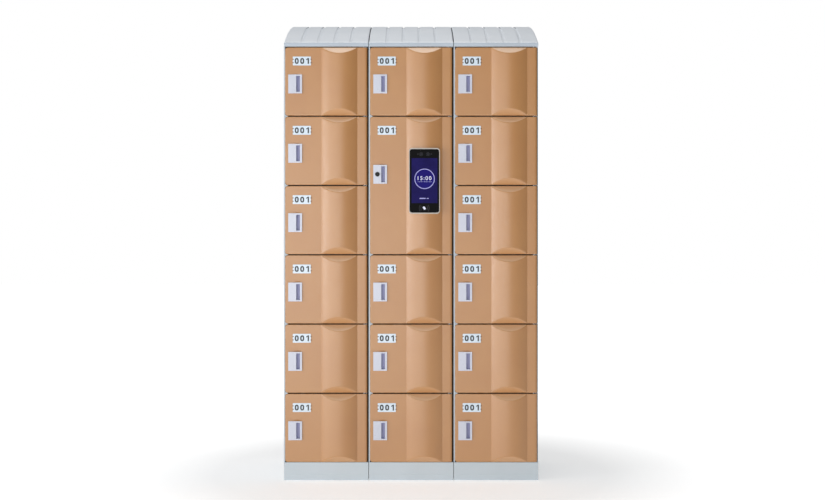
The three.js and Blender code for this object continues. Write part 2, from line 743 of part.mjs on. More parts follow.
function addControlBay(group) {
  const floor = tierFloor(CONTROL_TIER);
  const blank = controlDoor(doorHeight(2), CONTROL_PULL_Z - DOOR_FOOT, TERMINAL_Z - DOOR_FOOT);
  group.add(named("control_door", blank, doorAbs, floor + DOOR_FOOT));
  group.add(named("control_pull", pull(false), pullAbs, floor + CONTROL_PULL_Z));
  group.add(named("key_lock", keyLock(), keyBlack, floor + CONTROL_PULL_Z));
  group.add(named("terminal_housing", terminalHousing(), terminalShell, floor + TERMINAL_Z));
  group.add(named("terminal_screen", terminalScreen(), terminalGlass, floor + TERMINAL_Z));
  group.add(named("controller_box", controllerBox(), boxGrey, floor + 2 * TIER_H - CONTROLLER.drop));
  group.add(named("power_supply", powerSupply(), boxGrey, floor + SUPPLY.z));
}

function addColumn(locker, column, index) {
  const group = new THREE.Group();
  group.position.x = (index - COLUMN_NAMES.length / 2) * COLUMN_PITCH;
  group.add(named(`plinth_${column}`, plinth(), plinthAbs));
  group.add(named(`cap_${column}`, cap(), capAbs));
  group.add(named(`side_${column}_left`, leftPanel(column), bodyAbs));
  group.add(named(`side_${column}_right`, rightPanel(column), bodyAbs));
  group.add(named(`shelves_${column}`, shelfStack(column), bodyAbs));
  group.add(named(`hinge_rod_${column}`, hingeRod(), rodSteel));
  group.add(named(`lock_strip_${column}`, lockStrip(column), lockSteel));
  for (const tier of singleTiers(column)) addSingle(group, column, tier);
  if (column === CONTROL_COLUMN) addControlBay(group);
  locker.add(group);
}

const locker = new THREE.Group();
locker.position.y = -(GLASS_FRONT_Y + CARCASS_D) / 2; // the origin is at the middle of the footprint
COLUMN_NAMES.forEach((column, index) => addColumn(locker, column, index));

export default locker;
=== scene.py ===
"""Looks of the parcel locker bank: moulded ABS doors, caps and panels, gloss finger pulls, number plates,
a key lock and a touch terminal. Sizes are in millimetres unless a name ends in _M; the frame is in metres."""

import json
import math

import bmesh
import bpy
import numpy as np
from mathutils import Matrix, Vector


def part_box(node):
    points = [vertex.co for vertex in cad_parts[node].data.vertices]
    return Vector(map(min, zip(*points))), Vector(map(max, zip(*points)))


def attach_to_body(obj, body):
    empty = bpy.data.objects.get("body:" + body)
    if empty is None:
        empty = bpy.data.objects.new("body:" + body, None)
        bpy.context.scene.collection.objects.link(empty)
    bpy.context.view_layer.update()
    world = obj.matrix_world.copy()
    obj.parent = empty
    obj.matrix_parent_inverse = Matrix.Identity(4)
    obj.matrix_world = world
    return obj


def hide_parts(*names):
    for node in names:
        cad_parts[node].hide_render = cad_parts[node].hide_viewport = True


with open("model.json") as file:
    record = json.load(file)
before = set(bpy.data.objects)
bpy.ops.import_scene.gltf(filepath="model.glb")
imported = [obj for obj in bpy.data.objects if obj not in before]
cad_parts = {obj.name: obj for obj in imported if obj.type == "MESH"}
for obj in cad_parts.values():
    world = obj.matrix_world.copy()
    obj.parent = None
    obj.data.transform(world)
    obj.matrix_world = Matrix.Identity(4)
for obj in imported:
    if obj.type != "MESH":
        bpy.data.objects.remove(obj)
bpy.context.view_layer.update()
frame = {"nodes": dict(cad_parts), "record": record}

MM = 0.001

# ---- Sizes of the moulded pieces ----
DOOR_T = 20.0
DOOR_EDGE_R = 2.8  # rounding of the door's outer edges
DOOR_CORNER_R = 12.0  # the two corners at the lock side
BULGE_RIGHT = 205.0  # bulge's left edge, from the door's right edge
BULGE_W = 160.0
BULGE_H = 25.0
BULGE_END = 29.0
CREASE_SOFT = 0.35  # height over which the bulge's foot crease is rounded
RIDGE_SOFT = 1.6  # the same for the ridges at its sloping ends
UPPER_END_PALE = 0.9  # shares of the paler colour painted on the bulge's sloping ends as painted light
LOWER_END_PALE = 0.3
BACK_FIELD_INSET = 20.0  # recessed field on a door's inner face
BACK_FIELD_DEPTH = 2.5
CUP_WALL = 2.5
CUP_CLEAR = 0.3
SLOT_RIGHT = 9.0  # finger slot's right side to the plate's right edge
SLOT_W = 16.6
SLOT_H = 70.8
SLOT_UNDERCUT = 5.0
SLOT_D = 17.0
POCKET_D = 13.5  # depth of the door's pocket behind a finger pull
EDGE_LINES = [0.0, 0.3, 0.9, 1.8, DOOR_EDGE_R, 4.5]  # the face's grid lines at a rounded edge
EDGE_TAPER = 26.0  # the face's grid follows the rounded corners up to here
BACK_FIELD_SLOPE = 6.0
BACK_EDGE_R = 1.5
WEAR_W = 4.0  # width of the scuffs along a door's edges
WEAR_MOST = 0.6

PLATE_W = 81.0
PLATE_H = 40.0
PLATE_T = 1.6
PLATE_X = 293.0  # centre, from the door's right edge
PLATE_DROP = 61.0  # centre, below the door's top edge
DIGIT_W = 17.6
DIGIT_H = 26.0
DIGIT_PITCH = 24.4
DIGIT_RIGHT = 1.8  # the digits stand right of the plate's middle
DIGIT_STROKE = 5.9
DIGIT_T = 0.25
CLIP_W = 7.0
CLIP_H = 3.6
CLIP_D = PLATE_T + 0.9
CLIP_R = 0.6
CLIP_RIGHT = 1.6  # the painted recess shades stand right of the plate's ends
CLIP_GAP = 15.0

CAP_LIP_H = 18.0
CAP_ARCH_RUN = 450.0
CAP_ARCH_RISE = 151.0
CAP_START_SLOPE = 0.5  # of the arch, at its front
CAP_BACK_DROP = 25.0
CAP_RIBS = 5
CAP_GROOVE_PITCH = 73.0
CAP_GROOVE_W = 6.0
CAP_GROOVE_D = 4.6
CAP_SHOULDER = 4.4  # rounding beside each groove
CAP_GROOVE_LINES = (0.0, 3.0, 3.8, 4.5, 5.4, 6.3, 7.2, 8.2)  # grid lines either side of a groove's middle
CAP_CUT_START = 6.0  # behind the lip, where the grooves and the rounded sides begin
CAP_CUT_RUN = 20.0  # they reach their full depth over this
CAP_FRONT_CUT = 0.6  # a groove's share of its depth at the cap's front
CAP_SIDE_R = 5.0
CAP_BACK_FOOT = 30.0  # the rounded sides end at this height on the back

TRIM_GAP = 0.6  # between the bead and the doors
TRIM_D = 7.5
TRIM_BACK = 6.0  # the bead's back, behind the left panel's front edge
TRIM_R = 0.8
GAP_SHADE_D = 2.0  # how far behind the right panels' front edges the black painted gap shade reaches
BACK_SCREW_COUNT = 12  # in each of the two rows
BACK_SCREW_PITCH = 155.0
BACK_SCREW_IN = 12.0  # from the back panel's side edges
BACK_SCREW_R = 4.5
BACK_SCREW_SEED = 3
LOCK_SCREW_X = 8.0  # from the lock strip's left face
LOCK_SCREW_APART = 56.0
LOCK_SCREW_R = 2.6
LOCK_SCREW_SEED = 5

# ---- Sizes of what shows behind the terminal's glass, from the glass's middle ----
DISPLAY_X = 0.3
DISPLAY_Z = 1.0
DISPLAY_W = 115.0
DISPLAY_H = 200.0
PRINT_T = 0.15  # thickness of the display's picture
CLOCK_X = 0.6
CLOCK_Z = 9.0
CLOCK_D = 84.0
CLOCK_RING = (45.0, 41.8)  # outer and inner radius
CLOCK_DIGIT_H = 17.0
CLOCK_DIGIT_UP = 3.0  # above the clock's middle
ON_CLOCK = 0.25  # height of what is laid on the clock's disc, out from the glass
DATE_X = -27.5  # the first bar
DATE_DROP = 13.0  # below the clock's middle
DATE_BARS = 9
DATE_BAR_PITCH = 7.1
DATE_BAR_H = 2.2
MESSAGE_Z = -78.0
EYES_Z = 119.0  # the two cameras and the two sensors beside them
LENS_D = 10.4
CARD_X = -1.0
CARD_Z = -121.0
CARD_TILT = -38.0  # degrees
CARD_ARC_W = 2.2

# ---- Light and camera, with places in metres ----
SKY_LIGHT = 0.22
FLOOR_LIGHT = 0.46  # the floor's glow around the bank
FLOOR_FAR_LIGHT = 0.6  # its glow further off, as the bank gets it
FLOOR_SEEN_LIGHT = 1.2  # its glow further off, as the camera sees it
FLOOR_NEAR_M = 0.9  # the glow changes from the one to the other between these distances
FLOOR_FAR_M = 2.4
FLOOR_REACH_M = 30.0
KEY_LIGHT = 190.0  # watts
FRONT_LIGHT = 143.0
TOP_LIGHT = 73.0
CAMERA_LENS = 53.655273  # focal length in millimetres behind a 36 mm frame
CAMERA_AWAY_M = 5.5  # from the doors' faces
CAMERA_X_M = 0.006
CAMERA_Z_M = 1.0297

nodes = frame["nodes"]
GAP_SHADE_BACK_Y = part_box("side_a_right")[0][1] + GAP_SHADE_D * MM
node_body = {}
for body_name, body_nodes in frame["record"]["behaviour"]["bodies"].items():
    for node_name in body_nodes:
        node_body[node_name] = body_name


# ---- Node helpers ----
def linear(hex_colour):
    """An sRGB hex colour as linear RGBA."""
    channels = [int(hex_colour[i : i + 2], 16) / 255 for i in (1, 3, 5)]
    curve = [c / 12.92 if c <= 0.04045 else ((c + 0.055) / 1.055) ** 2.4 for c in channels]
    return (*curve, 1.0)


def add(tree, kind, settings=None, **links):
    """A node with its settings and its inputs: a value is set, a socket or a list of sockets is linked. An
    input is named by its name, or by its number as i0, i1 and so on."""
    node = tree.nodes.new(kind)
    for key, value in (settings or {}).items():
        setattr(node, key, value)
    for key, value in links.items():
        names = {i.name.replace(" ", "_"): n for n, i in reversed(list(enumerate(node.inputs)))}
        socket = node.inputs[int(key[1:]) if key[0] == "i" and key[1:].isdigit() else names[key]]
        if isinstance(value, (bpy.types.NodeSocket, list)):
            for source in value if isinstance(value, list) else [value]:
                tree.links.new(source, socket)
        else:
            socket.default_value = value
    return node


def new_material(name):
    """A material and its empty node tree."""
    material = bpy.data.materials.new(name)
    material.use_nodes = True
    material.node_tree.nodes.clear()
    return material, material.node_tree


def per_blob(size_mm):
    """The noise scale that makes blobs about size_mm across."""
    return 1.0 / (size_mm * MM)


# ---- Materials ----
PALE_ORANGE = "#D9AD82"  # scuffed door plastic, and painted light on the bulge's sloping ends


def moulded_plastic(name, colour, shade, roughness, grain_mm, grain_m, ior=1.53):
    """Injection-moulded ABS, and the PVC, ink and rubber that are as even: a plain colour with faint flow
    marks, and a fine leather-like grain that breaks up its soft highlight. A paler colour shows on scuffed
    edges, by edge_wear, and as painted light on the bulge's sloping ends, by matt_end.
    Only doors have these."""
    material, tree = new_material(name)
    coords = add(tree, "ShaderNodeTexCoord").outputs["Object"]
    flow = add(tree, "ShaderNodeTexNoise", Vector=coords, Scale=per_blob(140.0), Detail=3.0)
    marks = add(tree, "ShaderNodeMapRange", Value=flow.outputs["Fac"], From_Min=0.3, From_Max=0.7)
    body = add(tree, "ShaderNodeMix", {"data_type": "RGBA"},
               Factor=marks.outputs["Result"], i6=linear(colour), i7=linear(shade))
    edge = add(tree, "ShaderNodeAttribute", {"attribute_name": "edge_wear"})
    scuffs = add(tree, "ShaderNodeTexNoise", Vector=coords, Scale=per_blob(16.0), Detail=4.0)
    patchy = add(tree, "ShaderNodeMapRange", Value=scuffs.outputs["Fac"], From_Min=0.42, From_Max=0.62)
    wear = add(tree, "ShaderNodeMath", {"operation": "MULTIPLY"},
               i0=edge.outputs["Fac"], i1=patchy.outputs["Result"])
    # Painted light: the bulge's sloping ends are coloured paler.
    matt = add(tree, "ShaderNodeAttribute", {"attribute_name": "matt_end"})
    pale = add(tree, "ShaderNodeMix", {"data_type": "RGBA"},
               Factor=matt.outputs["Fac"], i6=body.outputs[2], i7=linear(PALE_ORANGE))
    base = add(tree, "ShaderNodeMix", {"data_type": "RGBA"},
               Factor=wear.outputs[0], i6=pale.outputs[2], i7=linear(PALE_ORANGE))
    fine = add(tree, "ShaderNodeTexNoise", Vector=coords, Scale=per_blob(9.0), Detail=3.0)
    rough = add(tree, "ShaderNodeMapRange", Value=fine.outputs["Fac"],
                From_Min=0.3, From_Max=0.7, To_Min=roughness - 0.05, To_Max=roughness + 0.06)
    grain = add(tree, "ShaderNodeTexNoise", Vector=coords, Scale=per_blob(grain_mm), Detail=2.0)
    bump = add(tree, "ShaderNodeBump", Strength=0.35, Distance=grain_m, Height=grain.outputs["Fac"])
    surface = add(tree, "ShaderNodeBsdfPrincipled", Base_Color=base.outputs[2],
                  Roughness=rough.outputs["Result"], Normal=bump.outputs["Normal"], IOR=ior,
                  Specular_IOR_Level=1.0)
    add(tree, "ShaderNodeOutputMaterial", Surface=surface.outputs["BSDF"])
    return material


def drawn_steel(name, colour, bright, roughness, across):
    """Bright drawn steel: fine lines along its length stretch the highlight."""
    material, tree = new_material(name)
    coords = add(tree, "ShaderNodeTexCoord").outputs["Object"]
    stretched = add(tree, "ShaderNodeMapping", Vector=coords, Scale=across)
    lines = add(tree, "ShaderNodeTexNoise", Vector=stretched.outputs[0], Scale=1.0, Detail=4.0)
    base = add(tree, "ShaderNodeMix", {"data_type": "RGBA"},
               Factor=lines.outputs["Fac"], i6=linear(colour), i7=linear(bright))
    rough = add(tree, "ShaderNodeMapRange", Value=lines.outputs["Fac"], From_Min=0.35, From_Max=0.65,
                To_Min=roughness - 0.06, To_Max=roughness + 0.1)
    surface = add(tree, "ShaderNodeBsdfPrincipled", Base_Color=base.outputs[2],
                  Roughness=rough.outputs["Result"], Metallic=1.0)
    add(tree, "ShaderNodeOutputMaterial", Surface=surface.outputs["BSDF"])
    return material


def coated_steel(name, colour, shade, roughness, metallic):
    """Plated or powder-coated sheet: a mottled tone and a slight orange peel in its highlight."""
    material, tree = new_material(name)
    coords = add(tree, "ShaderNodeTexCoord").outputs["Object"]
    blotch = add(tree, "ShaderNodeTexNoise", Vector=coords, Scale=per_blob(25.0), Detail=4.0, Roughness=0.6)
    base = add(tree, "ShaderNodeMix", {"data_type": "RGBA"},
               Factor=blotch.outputs["Fac"], i6=linear(colour), i7=linear(shade))
    rough = add(tree, "ShaderNodeMapRange", Value=blotch.outputs["Fac"], From_Min=0.35, From_Max=0.65,
                To_Min=roughness - 0.06, To_Max=roughness + 0.08)
    peel = add(tree, "ShaderNodeTexNoise", Vector=coords, Scale=per_blob(3.0), Detail=2.0)
    bump = add(tree, "ShaderNodeBump", Strength=0.25, Distance=0.0002, Height=peel.outputs["Fac"])
    surface = add(tree, "ShaderNodeBsdfPrincipled", Base_Color=base.outputs[2], Metallic=metallic,
                  Roughness=rough.outputs["Result"], Normal=bump.outputs["Normal"])
    add(tree, "ShaderNodeOutputMaterial", Surface=surface.outputs["BSDF"])
    return material


def cover_glass(name):
    """Black-backed cover glass: nearly mirror smooth, with faint smears that only show in its reflections."""
    material, tree = new_material(name)
    coords = add(tree, "ShaderNodeTexCoord").outputs["Object"]
    smear = add(tree, "ShaderNodeTexNoise", Vector=coords, Scale=per_blob(35.0), Detail=4.0, Roughness=0.6)
    base = add(tree, "ShaderNodeMix", {"data_type": "RGBA"},
               Factor=smear.outputs["Fac"], i6=linear("#0D0D0E"), i7=linear("#111112"))
    rough = add(tree, "ShaderNodeMapRange", Value=smear.outputs["Fac"], From_Min=0.35, From_Max=0.65,
                To_Min=0.1, To_Max=0.22)
    surface = add(tree, "ShaderNodeBsdfPrincipled", Base_Color=base.outputs[2],
                  Roughness=rough.outputs["Result"], IOR=1.5, Specular_IOR_Level=0.03)
    add(tree, "ShaderNodeOutputMaterial", Surface=surface.outputs["BSDF"])
    return material


def display(name, colour, centre, light):
    """A display area behind the glass: a cloudy glow broken by dark gaps between 1.2 mm dots."""
    material, tree = new_material(name)
    coords = add(tree, "ShaderNodeTexCoord").outputs["Object"]
    cloud = add(tree, "ShaderNodeTexNoise", Vector=coords, Scale=per_blob(45.0), Detail=2.0)
    spread_out = add(tree, "ShaderNodeMapRange", Value=cloud.outputs["Fac"], From_Min=0.3, From_Max=0.7)
    glow = add(tree, "ShaderNodeMix", {"data_type": "RGBA"},
               Factor=spread_out.outputs["Result"], i6=linear(colour), i7=linear(centre))
    dots = add(tree, "ShaderNodeTexVoronoi", Vector=coords, Scale=per_blob(1.2))
    gaps = add(tree, "ShaderNodeMapRange", Value=dots.outputs["Distance"],
               From_Min=0.5, From_Max=0.9, To_Min=0.0, To_Max=0.5)
    lit = add(tree, "ShaderNodeMix", {"data_type": "RGBA"},
              Factor=gaps.outputs["Result"], i6=glow.outputs[2], i7=linear("#000000"))
    surface = add(tree, "ShaderNodeBsdfPrincipled", Base_Color=lit.outputs[2], Emission_Color=lit.outputs[2],
                  Emission_Strength=light, Roughness=0.3, IOR=1.5, Specular_IOR_Level=0.04)
    add(tree, "ShaderNodeOutputMaterial", Surface=surface.outputs["BSDF"])
    return material


# Door, body and cap plastics: satin or matt, so highlights are wide and soft.
DOOR_ABS = moulded_plastic("orange_abs_satin", "#BC8344", "#B87E40", 0.4, 2.2, 0.00012, ior=1.62)
BODY_ABS = moulded_plastic("blue_grey_abs", "#C3CCD4", "#BEC7CF", 0.46, 2.2, 0.00012)
# Painted light and shade: the cap is coloured lighter than its front lip, for light from above.
CAP_PAINTED_LIGHT = moulded_plastic("grey_abs_textured", "#E1E6EC", "#DBE1E8", 0.55, 3.0, 0.0003)
LIP_PAINTED_SHADE = moulded_plastic("blue_grey_abs_lip", "#BECAD5", "#B9C5D1", 0.5, 2.2, 0.00012)
PLINTH_ABS = moulded_plastic("blue_grey_abs_plinth", "#C5CFD6", "#C0CBD2", 0.42, 2.2, 0.00012)
# Pulls and plates: glossier, so they read brighter and crisper than the doors.
PULL_ABS = moulded_plastic("white_abs_gloss", "#CED2E0", "#CBCFDD", 0.32, 4.0, 0.00003)
PLATE_ABS = moulded_plastic("pale_blue_pvc_plate", "#DCEAF6", "#D6E6F3", 0.35, 4.0, 0.00006)
# Ink, and painted shade in the clip recesses, finger slots, door gaps and where columns meet: dark or
# matt, with hardly a highlight.
DIGIT_INK = moulded_plastic("dark_slate_ink", "#0C1014", "#11161A", 0.6, 4.0, 0.00004)
# Painted shade of the number plates' clip recesses.
CLIP_PAINTED_SHADE = moulded_plastic("brown_clip_recess", "#7A5433", "#704C2D", 0.6, 3.0, 0.0001)
# Painted shade inside the finger slots.
SLOT_PAINTED_SHADE = moulded_plastic("lavender_slot_abs", "#A6A9CE", "#A1A4C9", 0.5, 4.0, 0.00008)
# Painted shade for the gaps behind the doors.
GAP_PAINTED_SHADE = moulded_plastic("black_epdm_seal", "#141315", "#19181A", 0.7, 1.5, 0.0002)
# Painted shade for the sides of caps and plinths where two columns meet.
JOINT_PAINTED_SHADE = moulded_plastic("grey_abs_joint", "#4C5560", "#454E59", 0.7, 3.0, 0.0002)
# Metals: bright where bare or plated, dull where coated.
ROD_STEEL = drawn_steel("drawn_stainless_steel", "#BFC1C4", "#E2E3E5", 0.3, (400.0, 400.0, 8.0))
LOCK_STEEL = coated_steel("dark_zinc_plate", "#3C3F44", "#4A4D52", 0.45, 0.6)
KEY_STEEL = coated_steel("black_die_cast_zinc", "#131416", "#1D1E21", 0.35, 0.4)
SCREW_STEEL = coated_steel("bright_zinc_screw", "#9A9CA0", "#B2B4B8", 0.32, 0.9)
RIM_ALUMINIUM = coated_steel("satin_anodised_aluminium", "#C4BDB4", "#BAB3AA", 0.4, 0.2)
GREY_STEEL = coated_steel("grey_powder_coat", "#8A8E93", "#7F8388", 0.5, 0.1)
# Terminal: black glass with a dim picture behind it.
GLASS_BLACK = cover_glass("black_cover_glass")
SCREEN_BLUE = display("indigo_display", "#1D1850", "#221D5C", 0.12)
SCREEN_DISC = display("indigo_display_disc", "#1D1768", "#221C72", 0.18)
SCREEN_LILAC = display("lilac_display", "#A3A2DA", "#B0AEE2", 0.25)
SCREEN_WHITE = display("white_display", "#D8DAF0", "#E2E4F6", 0.3)
SCREEN_GREY = display("grey_print", "#3C3C40", "#47474C", 0.0)
LENS_GLASS = display("camera_lens", "#2C2C32", "#38383F", 0.0)


# ---- Mesh helpers ----
SAME_POINT_M = 1e-6
SOFTENED_ANGLE = 28.0  # edges sharper than this are rounded


def mesh_object(name, verts, faces, material):
    """A smooth mesh object at the origin from points in metres."""
    mesh = bpy.data.meshes.new(name)
    mesh.from_pydata([tuple(v) for v in verts], [], faces)
    mesh.materials.append(material)
    piece = bpy.data.objects.new(name, mesh)
    bpy.context.scene.collection.objects.link(piece)
    mesh.polygons.foreach_set("use_smooth", [True] * len(mesh.polygons))
    mesh.update()
    return piece


def placed_copy(name, source, offset):
    """A copy of a finished mesh, moved by an offset in metres that goes into the mesh."""
    mesh = source.copy()
    mesh.name = name
    mesh.transform(Matrix.Translation(offset))
    piece = bpy.data.objects.new(name, mesh)
    bpy.context.scene.collection.objects.link(piece)
    return piece


def mesh_of(bm, name, material):
    """A mesh with one material from a finished bmesh, which is freed."""
    mesh = bpy.data.meshes.new(name)
    bm.to_mesh(mesh)
    bm.free()
    mesh.materials.append(material)
    return mesh


def close_up(bm):
    """Joins doubled points and turns every face outwards."""
    bmesh.ops.remove_doubles(bm, verts=bm.verts, dist=SAME_POINT_M)
    bmesh.ops.recalc_face_normals(bm, faces=bm.faces)


def bare_mesh(piece):
    """The mesh of an object that is no longer needed."""
    mesh = piece.data
    bpy.data.objects.remove(piece)
    return mesh


def finish_modifiers(piece):
    """Turns a piece's modifiers into plain mesh."""
    depsgraph = bpy.context.evaluated_depsgraph_get()
    mesh = bpy.data.meshes.new_from_object(piece.evaluated_get(depsgraph))
    mesh.name = piece.name
    old = piece.data
    piece.modifiers.clear()
    piece.data = mesh
    bpy.data.meshes.remove(old)
    return piece


def soften(piece, width_mm, segments):
    """Rounds the sharp edges of a piece and leaves its flats flat."""
    bevel = piece.modifiers.new("edge", "BEVEL")
    bevel.width = width_mm * MM
    bevel.segments = segments
    bevel.limit_method = "ANGLE"
    bevel.angle_limit = math.radians(SOFTENED_ANGLE)
    bevel.use_clamp_overlap = True
    flats = piece.modifiers.new("flats", "WEIGHTED_NORMAL")
    flats.weight = 100
    piece.data.polygons.foreach_set("use_smooth", [True] * len(piece.data.polygons))
    return finish_modifiers(piece)


def refined(node_name, name, material, width_mm, segments=3):
    """A copy of a CAD node with its loose triangles joined, its flats whole and its edges rounded."""
    mesh = nodes[node_name].data.copy()
    mesh.materials.clear()
    mesh.materials.append(material)
    bm = bmesh.new()
    bm.from_mesh(mesh)
    bmesh.ops.remove_doubles(bm, verts=bm.verts, dist=SAME_POINT_M)
    bmesh.ops.dissolve_limit(bm, angle_limit=math.radians(0.5), verts=bm.verts, edges=bm.edges)
    bm.to_mesh(mesh)
    bm.free()
    piece = bpy.data.objects.new(name, mesh)
    bpy.context.scene.collection.objects.link(piece)
    return soften(piece, width_mm, segments)


def recolour(piece, material, chosen):
    """Gives a second material to the faces that chosen picks by their centre and direction."""
    piece.data.materials.append(material)
    for face in piece.data.polygons:
        if chosen(face.center, face.normal):
            face.material_index = len(piece.data.materials) - 1
    return piece


def adopt(piece, node_name):
    """Puts a piece in the place of a CAD node."""
    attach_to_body(piece, node_body[node_name])
    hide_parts(node_name)


def attach(piece, body):
    """Adds a piece that has no CAD node of its own."""
    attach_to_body(piece, body)


def spread(start, stop, step):
    """Even values from start to stop, no further apart than step."""
    count = max(1, math.ceil((stop - start) / step - 1e-9))
    return [start + (stop - start) * i / count for i in range(count + 1)]


def merged_lines(*groups):
    """Grid lines without near doubles."""
    lines = []
    for value in sorted(v for group in groups for v in group):
        if not lines or value - lines[-1] > 0.12:
            lines.append(value)
    return lines


# ---- Doors ----
def soft_min(a, b, k):
    """The lower of two heights, blended where they are within k of each other."""
    h = np.maximum(k - np.abs(a - b), 0.0) / k
    return np.minimum(a, b) - h * h * k / 4


def soft_max(a, b, k):
    """The higher of two heights, blended in the same way."""
    return -soft_min(-a, -b, k)


def bulge_surfaces(x, z, width, height):
    """Heights of the bulge's round face and of its two sloping ends, at x from the door's left edge and z
    from its foot."""
    radius = ((BULGE_W / 2) ** 2 + BULGE_H**2) / (2 * BULGE_H)
    across = np.abs(x - (width - BULGE_RIGHT + BULGE_W / 2))
    arc = np.sqrt(np.maximum(radius**2 - across**2, 1.0)) - (radius - BULGE_H)
    arc = np.where(across < radius * 0.9, arc, -BULGE_H)
    ends = np.minimum(z, height - z) * BULGE_H / BULGE_END
    return arc, ends


def bulge_height(x, z, width, height):
    """How far the door's face stands out."""
    arc, ends = bulge_surfaces(x, z, width, height)
    return soft_max(soft_min(arc, ends, RIDGE_SOFT), np.zeros_like(arc), CREASE_SOFT)


def painted_end_light_share(x, z, width, height):
    """Painted light on the bulge's sloping ends, as a share of a paler colour: none elsewhere, and more at
    the upper end.
    """
    arc, ends = bulge_surfaces(x, z, width, height)
    return np.clip(arc - ends, 0.0, 1.0) * np.where(z > height / 2, UPPER_END_PALE, LOWER_END_PALE)


def edge_round(distance):
    """Set-back of the face at a distance from its edge, on a quarter-round."""
    d = np.clip(distance, 0.0, DOOR_EDGE_R)
    return DOOR_EDGE_R - np.sqrt(np.maximum(DOOR_EDGE_R**2 - (DOOR_EDGE_R - d) ** 2, 0.0))


def left_outline(z, height):
    """The door's left edge at z, with its two rounded corners."""
    near = np.minimum(np.clip(z, 0, None), np.clip(height - z, 0, None))
    inside = np.clip(DOOR_CORNER_R - near, 0.0, DOOR_CORNER_R)
    return DOOR_CORNER_R - np.sqrt(DOOR_CORNER_R**2 - inside**2)


def door_mesh(name, width, height, pocket):
    """A door with its left foot corner at the origin and its inner face at y = 0, facing -Y.
    The pocket is the recess behind the finger pull, as x0, x1, z0, z1 in millimetres."""
    barrel = DOOR_T / 2
    barrel_x = width - barrel
    turn = [barrel_x + barrel * math.sin(math.radians(a)) for a in range(0, 91, 9)]
    bulge_left = width - BULGE_RIGHT
    creases = [bulge_left + side + d for side in (0.0, BULGE_W) for d in (-4, -2, -1, -0.5, 0, 0.5, 1, 2, 4)]
    xs = merged_lines(
        EDGE_LINES, [8.0, 14.0, 20.0, EDGE_TAPER], pocket[:2], creases, turn,
        spread(bulge_left, bulge_left + BULGE_W, 4.0), spread(EDGE_TAPER + 2.0, bulge_left, 24.0),
    )
    in_corner = [DOOR_CORNER_R * (1 - math.cos(math.radians(a))) for a in range(0, 91, 10)]
    end_band = BULGE_END + 6.0
    foot = merged_lines(EDGE_LINES, in_corner, spread(DOOR_CORNER_R, end_band, 1.6))
    top = [height - z for z in foot]
    zs = merged_lines(foot, top, pocket[2:], spread(end_band, height - end_band, 16.0))
    x, z = np.meshgrid(np.array(xs), np.array(zs))
    pull_in = left_outline(z, height)
    x_front = np.where(x < EDGE_TAPER, pull_in + x * (EDGE_TAPER - pull_in) / EDGE_TAPER, x)
    on_barrel = np.clip(x_front - barrel_x, 0.0, barrel)
    round_y = np.sqrt(np.maximum(barrel**2 - on_barrel**2, 0.0))
    beside = x_front - pull_in
    ends = np.minimum(z, height - z)
    setback = np.maximum(edge_round(beside), edge_round(ends))
    corner = np.hypot(np.clip(DOOR_EDGE_R - beside, 0, None), np.clip(DOOR_EDGE_R - ends, 0, None))
    setback = np.maximum(setback, edge_round(DOOR_EDGE_R - np.minimum(corner, DOOR_EDGE_R)))
    face = np.where(on_barrel > 0, -barrel - round_y, -DOOR_T - bulge_height(x_front, z, width, height))
    front_y = np.minimum(face + setback, -barrel)
    border = np.minimum(np.minimum(beside, width - barrel - x_front), ends)
    field = np.clip((border - BACK_FIELD_INSET) / BACK_FIELD_SLOPE, 0.0, 1.0)
    field_y = -BACK_FIELD_DEPTH * field * field * (3 - 2 * field)
    back_face = np.where(on_barrel > 0, -barrel + round_y, field_y)
    back_y = np.maximum(back_face - np.minimum(setback, BACK_EDGE_R), -barrel)
    rows, cols = x.shape
    front = [(x_front[r, c], front_y[r, c], z[r, c]) for r in range(rows) for c in range(cols)]
    back = [(x_front[r, c], back_y[r, c], z[r, c]) for r in range(rows) for c in range(cols)]
    verts = [Vector(v) * MM for v in front + back]
    half = rows * cols
    faces = []
    pocket_faces = []
    for r in range(rows - 1):
        for c in range(cols - 1):
            a, b = r * cols + c, r * cols + c + 1
            quad = (a, b, b + cols, a + cols)
            centre_x = (xs[c] + xs[c + 1]) / 2
            centre_z = (zs[r] + zs[r + 1]) / 2
            if pocket[0] < centre_x < pocket[1] and pocket[2] < centre_z < pocket[3]:
                pocket_faces.append(len(faces))
            faces.append(quad)
            faces.append(tuple(half + i for i in reversed(quad)))
    rim = list(range(cols))
    rim += [r * cols + cols - 1 for r in range(1, rows)]
    rim += [(rows - 1) * cols + c for c in range(cols - 2, -1, -1)]
    rim += [r * cols for r in range(rows - 2, 0, -1)]
    for i, first in enumerate(rim):
        second = rim[(i + 1) % len(rim)]
        faces.append((first, half + first, half + second, second))
    piece = mesh_object(name, verts, faces, DOOR_ABS)
    bm = bmesh.new()
    bm.from_mesh(piece.data)
    bm.faces.ensure_lookup_table()
    wear = bm.verts.layers.float.new("edge_wear")
    # Painted light: how much paler colour goes on the bulge's sloping ends.
    matt = bm.verts.layers.float.new("matt_end")
    paleness = painted_end_light_share(x_front, z, width, height)
    for vert in bm.verts:
        i = vert.index % half
        near = min(beside.flat[i], ends.flat[i])
        vert[wear] = max(0.0, 1.0 - near / WEAR_W) * WEAR_MOST
        vert[matt] = paleness.flat[i] if vert.index < half else 0.0
    mouth = [bm.faces[i] for i in pocket_faces]
    sunk = bmesh.ops.extrude_face_region(bm, geom=mouth)
    moved = [g for g in sunk["geom"] if isinstance(g, bmesh.types.BMVert)]
    bmesh.ops.delete(bm, geom=mouth, context="FACES_ONLY")
    bmesh.ops.translate(bm, verts=moved, vec=(0, POCKET_D * MM, 0))
    close_up(bm)
    bm.to_mesh(piece.data)
    bm.free()
    return bare_mesh(piece)


